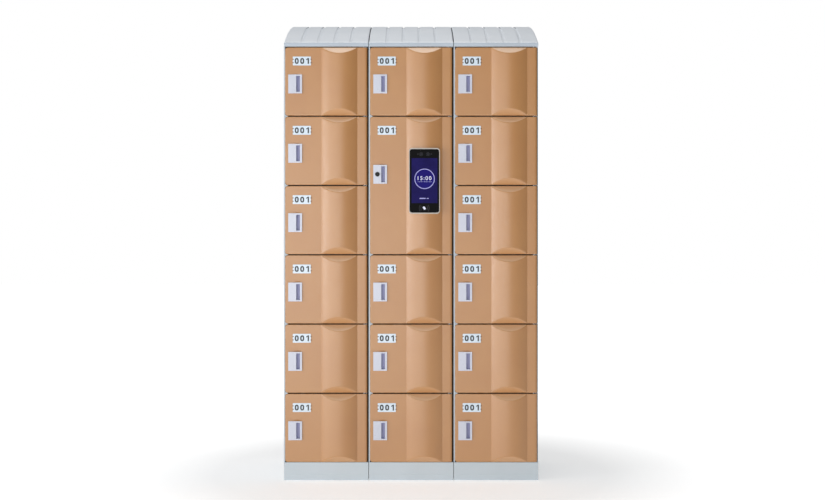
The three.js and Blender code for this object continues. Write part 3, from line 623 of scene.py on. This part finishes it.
def pocket_for(pull_node, door_lo):
    """The recess in the door behind a finger pull's cup, from the pull's own box."""
    lo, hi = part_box(pull_node)
    right = (hi[0] - door_lo[0]) / MM - SLOT_RIGHT + CUP_WALL + CUP_CLEAR
    left = right - SLOT_W - SLOT_UNDERCUT - 2 * (CUP_WALL + CUP_CLEAR)
    middle = ((lo[2] + hi[2]) / 2 - door_lo[2]) / MM
    tall = SLOT_H / 2 + CUP_WALL + CUP_CLEAR
    return (left, right, middle - tall, middle + tall)


def add_door(node_name, pull_node, sources):
    """A door in place of its CAD node; doors of one size share the same shape."""
    lo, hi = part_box(node_name)
    width, height = (hi[0] - lo[0]) / MM, (hi[2] - lo[2]) / MM
    key = round(height)
    if key not in sources:
        sources[key] = door_mesh(node_name + "_shape", width, height, pocket_for(pull_node, lo))
    piece = placed_copy(node_name + "_panel", sources[key], (lo[0], hi[1], lo[2]))
    adopt(piece, node_name)


def coloured_pull(pull_node):
    """A finger pull whose slot carries painted shade in a deeper lavender."""
    lo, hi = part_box(pull_node)
    slack = 0.6  # the slot's own faces lie inside this margin
    right = hi[0] - (SLOT_RIGHT - slack) * MM
    left = right - (SLOT_W + SLOT_UNDERCUT + 2 * slack) * MM
    deep = lo[1] + 2 * slack * MM
    back = lo[1] + (SLOT_D + 0.4) * MM
    middle = (lo[2] + hi[2]) / 2
    reach = (SLOT_H / 2 + slack) * MM

    def in_slot(centre, normal):
        return left < centre.x < right and deep < centre.y < back and abs(centre.z - middle) < reach

    return recolour(refined(pull_node, pull_node + "_plate", PULL_ABS, 0.7), SLOT_PAINTED_SHADE, in_slot)


# ---- Number plates ----
def rounded_plate(name, width, height, thick, radius, material, edge=0.4, steps=5):
    """A plate in x and z, centred on the origin, with its back at y = 0."""
    bm = bmesh.new()
    outline = []
    for sx, sz, start in ((1, -1, -90), (1, 1, 0), (-1, 1, 90), (-1, -1, 180)):
        for i in range(steps + 1):
            a = math.radians(start + 90 * i / steps)
            outline.append((sx * (width / 2 - radius) + radius * math.cos(a),
                            sz * (height / 2 - radius) + radius * math.sin(a)))
    rings = [(0.0, 0.0), (0.0, thick - edge), (edge * 0.3, thick - edge * 0.3), (edge, thick)]
    loops = []
    for inset, out in rings:
        loop = []
        for px, pz in outline:
            shrink_x = (width / 2 - inset) / (width / 2)
            shrink_z = (height / 2 - inset) / (height / 2)
            loop.append(bm.verts.new((px * shrink_x * MM, -out * MM, pz * shrink_z * MM)))
        loops.append(loop)
    for low, high in zip(loops, loops[1:]):
        for i in range(len(low)):
            j = (i + 1) % len(low)
            bm.faces.new((low[i], low[j], high[j], high[i]))
    bm.faces.new(loops[-1])
    bm.faces.new(list(reversed(loops[0])))
    bmesh.ops.recalc_face_normals(bm, faces=bm.faces)
    return mesh_of(bm, name, material)


def lettering(name, text, height_mm, thick_mm, material, bold_mm, spacing):
    """Flat lettering in x and z, centred on the origin, standing out towards -Y. Its height is measured
    before bold_mm is added around its strokes."""
    curve = bpy.data.curves.new(name, "FONT")
    curve.body = text
    curve.align_x = "CENTER"
    curve.align_y = "CENTER"
    curve.space_character = spacing
    curve.size = 1.0
    holder = bpy.data.objects.new(name, curve)
    bpy.context.scene.collection.objects.link(holder)
    bpy.context.view_layer.update()
    curve.size = height_mm * MM / holder.dimensions.y
    curve.extrude = thick_mm * MM / 2
    curve.offset = bold_mm * MM
    bpy.context.view_layer.update()
    mesh = bpy.data.meshes.new_from_object(holder.evaluated_get(bpy.context.evaluated_depsgraph_get()))
    bpy.data.objects.remove(holder)
    corners = np.array([v.co for v in mesh.vertices])
    middle = (corners.min(0) + corners.max(0)) / 2
    mesh.transform(Matrix.Translation((-middle[0], -middle[1], thick_mm * MM / 2)))
    mesh.transform(Matrix.Rotation(math.radians(90), 4, "X"))
    mesh.materials.clear()
    mesh.materials.append(material)
    return mesh


def outline_mesh(name, outlines, holes, thick_mm, material):
    """A flat piece in x and z with holes, standing out towards -Y from y = 0. The outlines and holes are
    lists of points in millimetres, and each hole has as many points as the outline it lies in."""
    bm = bmesh.new()
    for outline, hole in zip(outlines, holes):
        rings = []
        for points in (outline, hole) if hole else (outline,):
            rings.append([[bm.verts.new((x * MM, -out * MM, z * MM)) for x, z in points]
                          for out in (0, thick_mm)])
        count = len(outline)
        for low, high in rings:
            for i in range(count):
                j = (i + 1) % count
                bm.faces.new((low[i], low[j], high[j], high[i]))
        for level in (0, 1):
            outer = rings[0][level]
            if hole:
                inner = rings[1][level]
                for i in range(count):
                    j = (i + 1) % count
                    bm.faces.new((outer[i], outer[j], inner[j], inner[i]))
            else:
                bm.faces.new(outer)
    bmesh.ops.recalc_face_normals(bm, faces=bm.faces)
    return mesh_of(bm, name, material)


def number_mesh():
    """The plate's digits, 001: two rounded zeros and a one with a flag."""
    steps = 32
    zeros = []
    holes = []
    for place in (-1, 0):
        for inset, into in ((0.0, zeros), (DIGIT_STROKE, holes)):
            ring = []
            for i in range(steps):
                a = 2 * math.pi * i / steps
                squared = [math.copysign(abs(v) ** 0.8, v) for v in (math.cos(a), math.sin(a))]
                ring.append((place * DIGIT_PITCH + squared[0] * (DIGIT_W / 2 - inset),
                             squared[1] * (DIGIT_H / 2 - inset)))
            into.append(ring)
    top = DIGIT_H / 2
    left = DIGIT_PITCH
    right = left + DIGIT_STROKE
    one = [(left, -top), (right, -top), (right, top), (left + 0.8, top), (left - 6.5, top - 5.5),
           (left - 6.5, top - 9.5), (left, top - 6.5)]
    return outline_mesh("digits", zeros + [one], holes + [None], DIGIT_T, DIGIT_INK)


def add_number_plate(node_name, shapes):
    """A number plate, its digits and the painted shade of its four clip recesses, on a door's flat face."""
    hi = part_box(node_name)[1]
    body = node_body[node_name]
    face_y = hi[1] - DOOR_T * MM
    at = (hi[0] - PLATE_X * MM, face_y, hi[2] - PLATE_DROP * MM)
    label = node_name.replace("door_", "").replace("_door", "")
    plate = placed_copy("number_plate_" + label, shapes["plate"], at)
    attach(plate, body)
    on_plate = (at[0] + DIGIT_RIGHT * MM, at[1] - PLATE_T * MM, at[2])
    digits = placed_copy("digits_" + label, shapes["digits"], on_plate)
    attach(digits, body)
    clips = placed_copy("plate_clips_" + label, shapes["clips"], at)
    attach(clips, body)


def painted_clip_shade():
    """Four short dark bars, two at each end of a number plate: painted shade of its clip recesses."""
    bm = bmesh.new()
    scale = Matrix.Diagonal((CLIP_W * MM, CLIP_D * MM, CLIP_H * MM, 1.0))
    for side in (-1, 1):
        for up in (-1, 1):
            bar = bmesh.ops.create_cube(bm, size=1.0)
            middle = Vector((side * PLATE_W / 2 + CLIP_RIGHT, -PLATE_T / 2, up * CLIP_GAP / 2))
            place = Matrix.Translation(middle * MM)
            bmesh.ops.transform(bm, matrix=place @ scale, verts=bar["verts"])
    bmesh.ops.bevel(bm, geom=bm.edges[:], offset=CLIP_R * MM, segments=2, affect="EDGES", profile=0.5)
    return mesh_of(bm, "clips", CLIP_PAINTED_SHADE)


# ---- Caps ----
def cap_profile(depth_mm):
    """The cap's side view, up its front lip, over its arch and down its back, as (y, z) pairs. Both curves
    are parabolas, and they have the same slope where they meet."""
    points = [(0.0, 1.0), (0.0, CAP_LIP_H * 0.5), (0.0, CAP_LIP_H - 2.5), (0.4, CAP_LIP_H - 1.0),
              (1.2, CAP_LIP_H)]
    arch_steps = 24
    for i in range(1, arch_steps + 1):
        t = i / arch_steps
        rise = 2 * t * (1 - t) * CAP_START_SLOPE * CAP_ARCH_RUN / 2 + t * t * CAP_ARCH_RISE
        points.append((t * CAP_ARCH_RUN, CAP_LIP_H + rise))
    end_slope = 2 * CAP_ARCH_RISE / CAP_ARCH_RUN - CAP_START_SLOPE
    arch_top = CAP_LIP_H + CAP_ARCH_RISE
    meeting = arch_top + end_slope * (depth_mm - CAP_ARCH_RUN)
    back_steps = 10
    for i in range(1, back_steps + 1):
        t = i / back_steps
        y = 2 * t * (1 - t) * depth_mm + t * t * depth_mm + (1 - t) ** 2 * CAP_ARCH_RUN
        z = (1 - t) ** 2 * arch_top + 2 * t * (1 - t) * meeting + t * t * (arch_top - CAP_BACK_DROP)
        points.append((y, z))
    return points + [(depth_mm, CAP_BACK_FOOT), (depth_mm, 0.0)]


def groove_middles(width):
    """The x of each groove's middle."""
    return [width / 2 + (g - (CAP_RIBS - 2) / 2) * CAP_GROOVE_PITCH for g in range(CAP_RIBS - 1)]


def groove_depth(x, width):
    """How deep the grooves cut at x, with rounded shoulders."""
    depth = np.zeros_like(x)
    for middle in groove_middles(width):
        away = np.abs(x - middle) - CAP_GROOVE_W / 2
        fall = np.clip(1 - away / CAP_SHOULDER, 0.0, 1.0)
        depth = np.maximum(depth, CAP_GROOVE_D * fall * fall * (3 - 2 * fall))
    return depth


def cap_mesh(name, width, depth_mm):
    """A cap with its front left foot corner at the origin."""
    y, z = np.array(cap_profile(depth_mm)).T
    count = len(y)
    tangent = np.gradient(np.stack([y, z], 1), axis=0)
    normal = np.stack([-tangent[:, 1], tangent[:, 0]], 1)
    normal /= np.linalg.norm(normal, axis=1, keepdims=True)
    cut = np.clip((y - CAP_CUT_START) / CAP_CUT_RUN, 0.0, 1.0)
    cut[-2:] = 0.0
    groove_cut = cut * np.clip(CAP_FRONT_CUT + (1 - CAP_FRONT_CUT) * y / CAP_ARCH_RUN, 0.0, 1.0)
    at_grooves = [middle + side * line for middle in groove_middles(width)
                  for side in (-1, 1) for line in CAP_GROOVE_LINES]
    sides = [0.0, 0.6, 1.6, 3.0, CAP_SIDE_R, 8.0]
    right_sides = [width - s for s in sides]
    xs = np.array(merged_lines(sides, right_sides, at_grooves, spread(8.0, width - 8.0, 16.0)))
    sink = groove_depth(xs, width)
    edge = np.minimum(xs, width - xs)
    fall = np.clip(1 - edge / CAP_SIDE_R, 0.0, 1.0)
    rounding = CAP_SIDE_R - np.sqrt(CAP_SIDE_R**2 - (fall * CAP_SIDE_R) ** 2)
    verts = []
    for i in range(count):
        for j in range(len(xs)):
            drop = sink[j] * groove_cut[i] + rounding[j] * cut[i]
            verts.append((xs[j], y[i] - normal[i, 0] * drop, z[i] - normal[i, 1] * drop))
    cols = len(xs)
    faces = [(i * cols + j, i * cols + j + 1, (i + 1) * cols + j + 1, (i + 1) * cols + j)
             for i in range(count - 1) for j in range(cols - 1)]
    bottom_front = len(verts)
    verts += [(x, 0.0, 0.0) for x in xs]
    faces += [(bottom_front + j, bottom_front + j + 1, j + 1, j) for j in range(cols - 1)]
    left = [bottom_front] + [i * cols for i in range(count)]
    right = [bottom_front + cols - 1] + [i * cols + cols - 1 for i in range(count)]
    faces.append(tuple(left))
    faces.append(tuple(reversed(right)))
    last = (count - 1) * cols
    faces += [(last + j, last + j + 1, bottom_front + j + 1, bottom_front + j) for j in range(cols - 1)]
    piece = mesh_object(name, [Vector(v) * MM for v in verts], faces, CAP_PAINTED_LIGHT)
    bm = bmesh.new()
    bm.from_mesh(piece.data)
    bmesh.ops.triangulate(bm, faces=[f for f in bm.faces if len(f.verts) > 4])
    close_up(bm)
    bm.to_mesh(piece.data)
    bm.free()
    piece.data.set_sharp_from_angle(angle=math.radians(40))
    return bare_mesh(piece)


# ---- Panels ----
def faces_front(centre, normal):
    """True for the front edges of the shelves and right panels, which carry black painted shade for the
    gaps between the doors.
    """
    return normal.y < -0.9 and centre.y < GAP_SHADE_BACK_Y


def add_door_trim(column):
    """The pale bead that runs up the left panel beside the doors."""
    lo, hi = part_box(f"side_{column}_left")
    tall = (hi[2] - lo[2]) / MM
    wide = (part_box(f"door_{column}1")[0][0] - lo[0]) / MM - TRIM_GAP
    bead = rounded_plate("door_bead", wide, tall, TRIM_D, TRIM_R, BODY_ABS, edge=0.6, steps=3)
    bead_middle = (lo[0] + wide / 2 * MM, lo[1] + TRIM_BACK * MM, (lo[2] + hi[2]) / 2)
    piece = placed_copy(f"door_bead_{column}", bead, bead_middle)
    attach(piece, "carcass")


# ---- Screws ----
HEAD_RISE = 0.45  # these four are shares of a head's radius
CROSS_LONG = 1.1
CROSS_WIDE = 0.22
CROSS_RISE = 0.42


def screw_tree():
    """Geometry Nodes for rows of cross-head screws in x and z, heads towards +Y, each turned by chance.
    Returns the tree and the identifiers of its inputs."""
    tree = bpy.data.node_groups.new("screw_rows", "GeometryNodeTree")
    ids = {}
    for label, kind in (("Rows", "Int"), ("Apart", "Float"), ("Count", "Int"), ("Pitch", "Float"),
                        ("Head Radius", "Float"), ("Seed", "Int"), ("Material", "Material")):
        socket = tree.interface.new_socket(label, in_out="INPUT", socket_type="NodeSocket" + kind)
        ids[label] = socket.identifier
    tree.interface.new_socket("Geometry", in_out="OUTPUT", socket_type="NodeSocketGeometry")
    given = add(tree, "NodeGroupInput").outputs
    gaps_across = add(tree, "ShaderNodeMath", {"operation": "SUBTRACT"}, i0=given["Rows"], i1=1.0)
    gaps_up = add(tree, "ShaderNodeMath", {"operation": "SUBTRACT"}, i0=given["Count"], i1=1.0)
    wide = add(tree, "ShaderNodeMath", {"operation": "MULTIPLY"},
               i0=gaps_across.outputs[0], i1=given["Apart"])
    tall = add(tree, "ShaderNodeMath", {"operation": "MULTIPLY"},
               i0=gaps_up.outputs[0], i1=given["Pitch"])
    grid = add(tree, "GeometryNodeMeshGrid", Size_X=wide.outputs[0], Size_Y=tall.outputs[0],
               Vertices_X=given["Rows"], Vertices_Y=given["Count"])
    upright = add(tree, "GeometryNodeTransform", Geometry=grid.outputs["Mesh"],
                  Rotation=(math.pi / 2, 0.0, 0.0))
    ball = add(tree, "GeometryNodeMeshUVSphere", Segments=20, Rings=12, Radius=1.0)
    dome = add(tree, "GeometryNodeTransform", Geometry=ball.outputs["Mesh"], Scale=(1.0, HEAD_RISE, 1.0))
    blades = []
    for size in ((CROSS_LONG, 0.5, CROSS_WIDE), (CROSS_WIDE, 0.5, CROSS_LONG)):
        blade = add(tree, "GeometryNodeMeshCube", Size=size)
        raised = add(tree, "GeometryNodeTransform", Geometry=blade.outputs["Mesh"],
                     Translation=(0.0, CROSS_RISE, 0.0))
        blades.append(raised.outputs["Geometry"])
    cross = add(tree, "GeometryNodeMeshBoolean", {"operation": "UNION"}, i1=blades)
    head = add(tree, "GeometryNodeMeshBoolean", {"operation": "DIFFERENCE"},
               i0=dome.outputs["Geometry"], i1=cross.outputs["Mesh"])
    chance = add(tree, "FunctionNodeRandomValue", {"data_type": "FLOAT"},
                 i2=0.0, i3=math.pi, i8=given["Seed"])
    turned = add(tree, "ShaderNodeCombineXYZ", Y=chance.outputs[1])
    rows = add(tree, "GeometryNodeInstanceOnPoints", Points=upright.outputs["Geometry"],
               Instance=head.outputs["Mesh"], Rotation=turned.outputs[0], Scale=given["Head Radius"])
    real = add(tree, "GeometryNodeRealizeInstances", Geometry=rows.outputs["Instances"])
    coloured = add(tree, "GeometryNodeSetMaterial",
                   Geometry=real.outputs["Geometry"], Material=given["Material"])
    add(tree, "NodeGroupOutput", Geometry=coloured.outputs["Geometry"])
    return tree, ids


def screw_mesh(tree, ids, name, rows, apart_mm, count, pitch_mm, radius_mm, seed):
    """A plain mesh of upright screw rows, centred on the origin."""
    holder = bpy.data.objects.new(name, bpy.data.meshes.new(name + "_start"))
    bpy.context.scene.collection.objects.link(holder)
    modifier = holder.modifiers.new("screws", "NODES")
    modifier.node_group = tree
    values = {"Rows": rows, "Apart": apart_mm * MM, "Count": count, "Pitch": pitch_mm * MM,
              "Head Radius": radius_mm * MM, "Seed": seed, "Material": SCREW_STEEL}
    for label, value in values.items():
        modifier[ids[label]] = value
    mesh = bare_mesh(finish_modifiers(holder))
    mesh.polygons.foreach_set("use_smooth", [True] * len(mesh.polygons))
    mesh.set_sharp_from_angle(angle=math.radians(35))
    return mesh


def add_screws(column, back_rows, lock_pair):
    """The screws of the back panel and of each lock body in a column."""
    lo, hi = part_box(f"shelves_{column}")
    middle = ((lo[0] + hi[0]) / 2, hi[1], (lo[2] + hi[2]) / 2)
    attach(placed_copy(f"back_screws_{column}", back_rows, middle), "carcass")
    lock_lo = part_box(f"lock_strip_{column}")[0]
    for node_name in [n for n in nodes if n.startswith(f"pull_{column}")]:
        pull_lo, pull_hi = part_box(node_name)
        at = (lock_lo[0] + LOCK_SCREW_X * MM, lock_lo[1], (pull_lo[2] + pull_hi[2]) / 2)
        pair = placed_copy(node_name.replace("pull_", "lock_screws_"), lock_pair, at)
        attach(pair, "carcass")


# ---- Terminal ----
def ring_mesh(name, outer, inner, thick, material, steps, start=0.0, sweep=360.0):
    """A flat ring or arc in x and z, centred on the origin, standing out towards -Y."""
    full = sweep >= 360.0
    count = steps if full else steps + 1
    bm = bmesh.new()
    loops = []
    for radius, out in ((outer, 0.0), (outer, thick), (inner, thick), (inner, 0.0)):
        loop = []
        for i in range(count):
            a = math.radians(start + sweep * i / steps)
            loop.append(bm.verts.new((radius * math.cos(a) * MM, -out * MM, radius * math.sin(a) * MM)))
        loops.append(loop)
    for k in range(4):
        low, high = loops[k], loops[(k + 1) % 4]
        for i in range(steps):
            j = (i + 1) % count
            bm.faces.new((low[i], low[j], high[j], high[i]))
    if not full:
        bm.faces.new([loop[0] for loop in loops])
        bm.faces.new([loop[-1] for loop in reversed(loops)])
    bmesh.ops.recalc_face_normals(bm, faces=bm.faces)
    return mesh_of(bm, name, material)


def add_terminal():
    """The terminal's housing and glass, and what shows behind the glass."""
    body = node_body["terminal_screen"]
    housing = refined("terminal_housing", "terminal_rim", RIM_ALUMINIUM, 1.2, 4)
    adopt(housing, "terminal_housing")
    glass = refined("terminal_screen", "terminal_cover_glass", GLASS_BLACK, 0.8)
    adopt(glass, "terminal_screen")
    lo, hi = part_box("terminal_screen")
    middle = ((lo[0] + hi[0]) / 2, (lo[2] + hi[2]) / 2)

    def lay(name, mesh, x, z, out=0.0):
        place = (middle[0] + x * MM, lo[1] - out * MM, middle[1] + z * MM)
        attach(placed_copy(name, mesh, place), body)

    picture = rounded_plate("display", DISPLAY_W, DISPLAY_H, PRINT_T, 1.0, SCREEN_BLUE, edge=0.05)
    lay("display_panel", picture, DISPLAY_X, DISPLAY_Z)
    disc = rounded_plate("disc", CLOCK_D, CLOCK_D, 0.12, CLOCK_D / 2 - 0.1, SCREEN_DISC, edge=0.04, steps=14)
    lay("clock_disc", disc, CLOCK_X, CLOCK_Z, PRINT_T)
    lay("clock_ring", ring_mesh("ring", *CLOCK_RING, 0.25, SCREEN_LILAC, 72), CLOCK_X, CLOCK_Z, PRINT_T)
    clock_text = lettering("time", "15:00", CLOCK_DIGIT_H, 0.2, SCREEN_WHITE, 0.2, 1.25)
    lay("clock_digits", clock_text, CLOCK_X, CLOCK_Z + CLOCK_DIGIT_UP, ON_CLOCK)
    for i in range(DATE_BARS):
        length = 5.0 if i % 3 else 3.2
        bar = rounded_plate("date_bar", length, DATE_BAR_H, 0.12, 0.8, SCREEN_LILAC, edge=0.03, steps=2)
        lay(f"date_bar_{i + 1}", bar, DATE_X + DATE_BAR_PITCH * i, CLOCK_Z - DATE_DROP, ON_CLOCK)
    for i, (x, length, height, radius) in enumerate(((-8.0, 27.0, 4.4, 1.6), (14.5, 9.0, 3.2, 1.2))):
        bar = rounded_plate("bar", length, height, 0.12, radius, SCREEN_LILAC, edge=0.03)
        lay(f"message_bar_{i + 1}", bar, x, MESSAGE_Z, PRINT_T)
    for name, x in (("camera_left", -14.5), ("camera_right", 15.5)):
        lay(name + "_ring", ring_mesh(name, 8.2, 6.8, 0.2, SCREEN_GREY, 36), x, EYES_Z)
        lens = rounded_plate(name, LENS_D, LENS_D, 0.3, LENS_D / 2 - 0.05, LENS_GLASS, edge=0.2, steps=8)
        lay(name + "_lens", lens, x, EYES_Z)
    for name, x in (("sensor_left", -29.0), ("sensor_right", 30.0)):
        lay(name, ring_mesh(name, 3.2, 2.0, 0.15, SCREEN_GREY, 20), x, EYES_Z)
    card = rounded_plate("card", 9.5, 14.0, 0.15, 1.6, SCREEN_WHITE, edge=0.05)
    card.transform(Matrix.Rotation(math.radians(CARD_TILT), 4, "Y"))
    lay("card_mark", card, CARD_X, CARD_Z)
    for i, radius in enumerate((15.0, 22.0)):
        outer = radius + CARD_ARC_W / 2
        for side, start in (("left", 140.0), ("right", -40.0)):
            arc = ring_mesh("arc", outer, outer - CARD_ARC_W, 0.12, SCREEN_GREY, 20, start, 80.0)
            lay(f"card_arc_{side}_{i + 1}", arc, CARD_X, CARD_Z)


# ---- Build ----
JOINT_SIDES = {
    "a": lambda centre, normal: normal.x > 0.8,
    "b": lambda centre, normal: abs(normal.x) > 0.8,
    "c": lambda centre, normal: normal.x < -0.8,
}


def build_doors():
    """Every door with its number plate and its finger pull."""
    door_shapes = {}
    plate_shapes = {
        "plate": rounded_plate("number_plate", PLATE_W, PLATE_H, PLATE_T, 2.0, PLATE_ABS),
        "digits": number_mesh(),
        "clips": painted_clip_shade(),
    }
    for node_name in sorted(n for n in nodes if n.startswith("door_") or n == "control_door"):
        pull_node = "control_pull" if node_name == "control_door" else node_name.replace("door_", "pull_")
        add_door(node_name, pull_node, door_shapes)
        add_number_plate(node_name, plate_shapes)
        adopt(coloured_pull(pull_node), pull_node)


def add_carcass(column, cap_shape):
    """A column's cap, plinth, panels, shelves, locks and hinge rod. Where two columns meet, the sides of
    their caps and plinths carry painted shade."""
    cap = placed_copy(f"cap_{column}_shell", cap_shape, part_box(f"cap_{column}")[0])
    # Painted light and shade: the cap's front faces take the darker lip colour, the rest the lighter cap
    # colour.
    recolour(cap, LIP_PAINTED_SHADE, lambda centre, normal: normal.y < -0.8)
    # Painted shade on the cap's sides where two columns meet.
    adopt(recolour(cap, JOINT_PAINTED_SHADE, JOINT_SIDES[column]), f"cap_{column}")
    plinth = refined(f"plinth_{column}", f"plinth_{column}_box", PLINTH_ABS, 0.7)
    # Painted shade on the plinth's sides where two columns meet.
    adopt(recolour(plinth, JOINT_PAINTED_SHADE, JOINT_SIDES[column]), f"plinth_{column}")
    for side in ("left", "right"):
        panel = refined(f"side_{column}_{side}", f"side_{column}_{side}_panel", BODY_ABS, 0.5, 2)
        if side == "right":
            # Black painted shade on the panel's front edge, in the gap beside the doors.
            recolour(panel, GAP_PAINTED_SHADE, faces_front)
        adopt(panel, f"side_{column}_{side}")
    shelves = refined(f"shelves_{column}", f"shelves_{column}_frame", BODY_ABS, 1.0, 2)
    # Black painted shade on the shelves' front edges, in the gaps between the doors.
    adopt(recolour(shelves, GAP_PAINTED_SHADE, faces_front), f"shelves_{column}")
    add_door_trim(column)
    strip = refined(f"lock_strip_{column}", f"lock_strip_{column}_set", LOCK_STEEL, 0.5, 2)
    adopt(strip, f"lock_strip_{column}")
    rod = nodes[f"hinge_rod_{column}"]
    rod.data.materials.clear()
    rod.data.materials.append(ROD_STEEL)


def build_columns():
    """The three columns with their screws. The columns are alike, so each shape is made once."""
    tree, ids = screw_tree()
    shelf_lo, shelf_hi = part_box("shelves_a")
    apart = (shelf_hi[0] - shelf_lo[0]) / MM - 2 * BACK_SCREW_IN
    back_rows = screw_mesh(tree, ids, "back_screws", 2, apart, BACK_SCREW_COUNT, BACK_SCREW_PITCH,
                           BACK_SCREW_R, BACK_SCREW_SEED)
    lock_pair = screw_mesh(tree, ids, "lock_screws", 1, 0.0, 2, LOCK_SCREW_APART,
                           LOCK_SCREW_R, LOCK_SCREW_SEED)
    lock_pair.transform(Matrix.Rotation(math.pi, 4, "Z"))
    cap_lo, cap_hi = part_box("cap_a")
    cap_shape = cap_mesh("cap_shape", (cap_hi[0] - cap_lo[0]) / MM, (cap_hi[1] - cap_lo[1]) / MM)
    for column in "abc":
        add_screws(column, back_rows, lock_pair)
        add_carcass(column, cap_shape)


build_doors()
build_columns()
adopt(refined("key_lock", "key_cylinder", KEY_STEEL, 0.7), "key_lock")
adopt(refined("controller_box", "controller_case", GREY_STEEL, 1.0), "controller_box")
adopt(refined("power_supply", "power_supply_case", GREY_STEEL, 1.0), "power_supply")
add_terminal()


# ---- Floor, light and camera ----
def build_stage():
    """A pale vinyl floor that runs far behind the bank, matt and faintly mottled, and lit from below like a
    light table. Away from the bank it glows white for the camera and less brightly for the bank."""
    material, tree = new_material("pale_studio_vinyl")
    coords = add(tree, "ShaderNodeTexCoord").outputs["Object"]
    mottle = add(tree, "ShaderNodeTexNoise", Vector=coords, Scale=per_blob(400.0), Detail=2.0)
    base = add(tree, "ShaderNodeMix", {"data_type": "RGBA"},
               Factor=mottle.outputs["Fac"], i6=linear("#F2F2F2"), i7=linear("#F5F5F5"))
    away = add(tree, "ShaderNodeVectorMath", {"operation": "LENGTH"}, Vector=coords)
    far = add(tree, "ShaderNodeMapRange", Value=away.outputs["Value"],
              From_Min=FLOOR_NEAR_M, From_Max=FLOOR_FAR_M)
    seen = add(tree, "ShaderNodeLightPath").outputs["Is Camera Ray"]
    glow = add(tree, "ShaderNodeMapRange", Value=seen, To_Min=FLOOR_FAR_LIGHT, To_Max=FLOOR_SEEN_LIGHT)
    strength = add(tree, "ShaderNodeMix", {"data_type": "FLOAT"},
                   i0=far.outputs["Result"], i2=FLOOR_LIGHT, i3=glow.outputs["Result"])
    surface = add(tree, "ShaderNodeBsdfPrincipled", Base_Color=base.outputs[2], Roughness=0.8,
                  Emission_Color=base.outputs[2], Emission_Strength=strength.outputs[0])
    add(tree, "ShaderNodeOutputMaterial", Surface=surface.outputs["BSDF"])
    corners = [(x * FLOOR_REACH_M, y * FLOOR_REACH_M, 0.0) for x, y in ((-1, -1), (1, -1), (1, 1), (-1, 1))]
    mesh_object("studio_floor", corners, [(0, 1, 2, 3)], material)


def build_sky():
    """An even white surround for the camera, and softer light from it for the bank."""
    world = bpy.data.worlds.new("studio_white")
    world.use_nodes = True
    tree = world.node_tree
    tree.nodes.clear()
    seen = add(tree, "ShaderNodeLightPath").outputs["Is Camera Ray"]
    strength = add(tree, "ShaderNodeMapRange", Value=seen, To_Min=SKY_LIGHT, To_Max=1.0)
    surround = add(tree, "ShaderNodeBackground", Color=linear("#FFFFFF"), Strength=strength.outputs["Result"])
    add(tree, "ShaderNodeOutputWorld", Surface=surround.outputs[0])
    bpy.context.scene.world = world


def area_light(name, place, target, size, power):
    """A white rectangular light that faces its target."""
    data = bpy.data.lights.new(name, "AREA")
    data.shape = "RECTANGLE"
    data.size, data.size_y = size
    data.energy = power
    light = bpy.data.objects.new(name, data)
    light.location = place
    light.rotation_euler = (Vector(target) - Vector(place)).to_track_quat("-Z", "Y").to_euler()
    bpy.context.scene.collection.objects.link(light)


def build_camera():
    """A level camera in front of the bank."""
    data = bpy.data.cameras.new("camera")
    data.sensor_width = 36.0
    data.lens = CAMERA_LENS
    data.clip_end = 100.0
    camera = bpy.data.objects.new("camera", data)
    face_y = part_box("door_a1")[1][1] - DOOR_T * MM
    camera.location = (CAMERA_X_M, face_y - CAMERA_AWAY_M, CAMERA_Z_M)
    camera.rotation_euler = (math.radians(90), 0, 0)
    bpy.context.scene.collection.objects.link(camera)
    bpy.context.scene.camera = camera


build_stage()
build_sky()
area_light("key", (-8.4, -4.8, 1.6), (0.0, 0.0, 0.9), (3.4, 2.2), KEY_LIGHT)
area_light("front", (-2.6, -6.3, 1.3), (0.0, 0.0, 0.6), (7.0, 2.6), FRONT_LIGHT)
area_light("top", (-0.2, 0.1, 5.4), (0.0, 0.0, 2.0), (3.4, 2.4), TOP_LIGHT)
build_camera()
bpy.context.scene.view_settings.view_transform = "Standard"
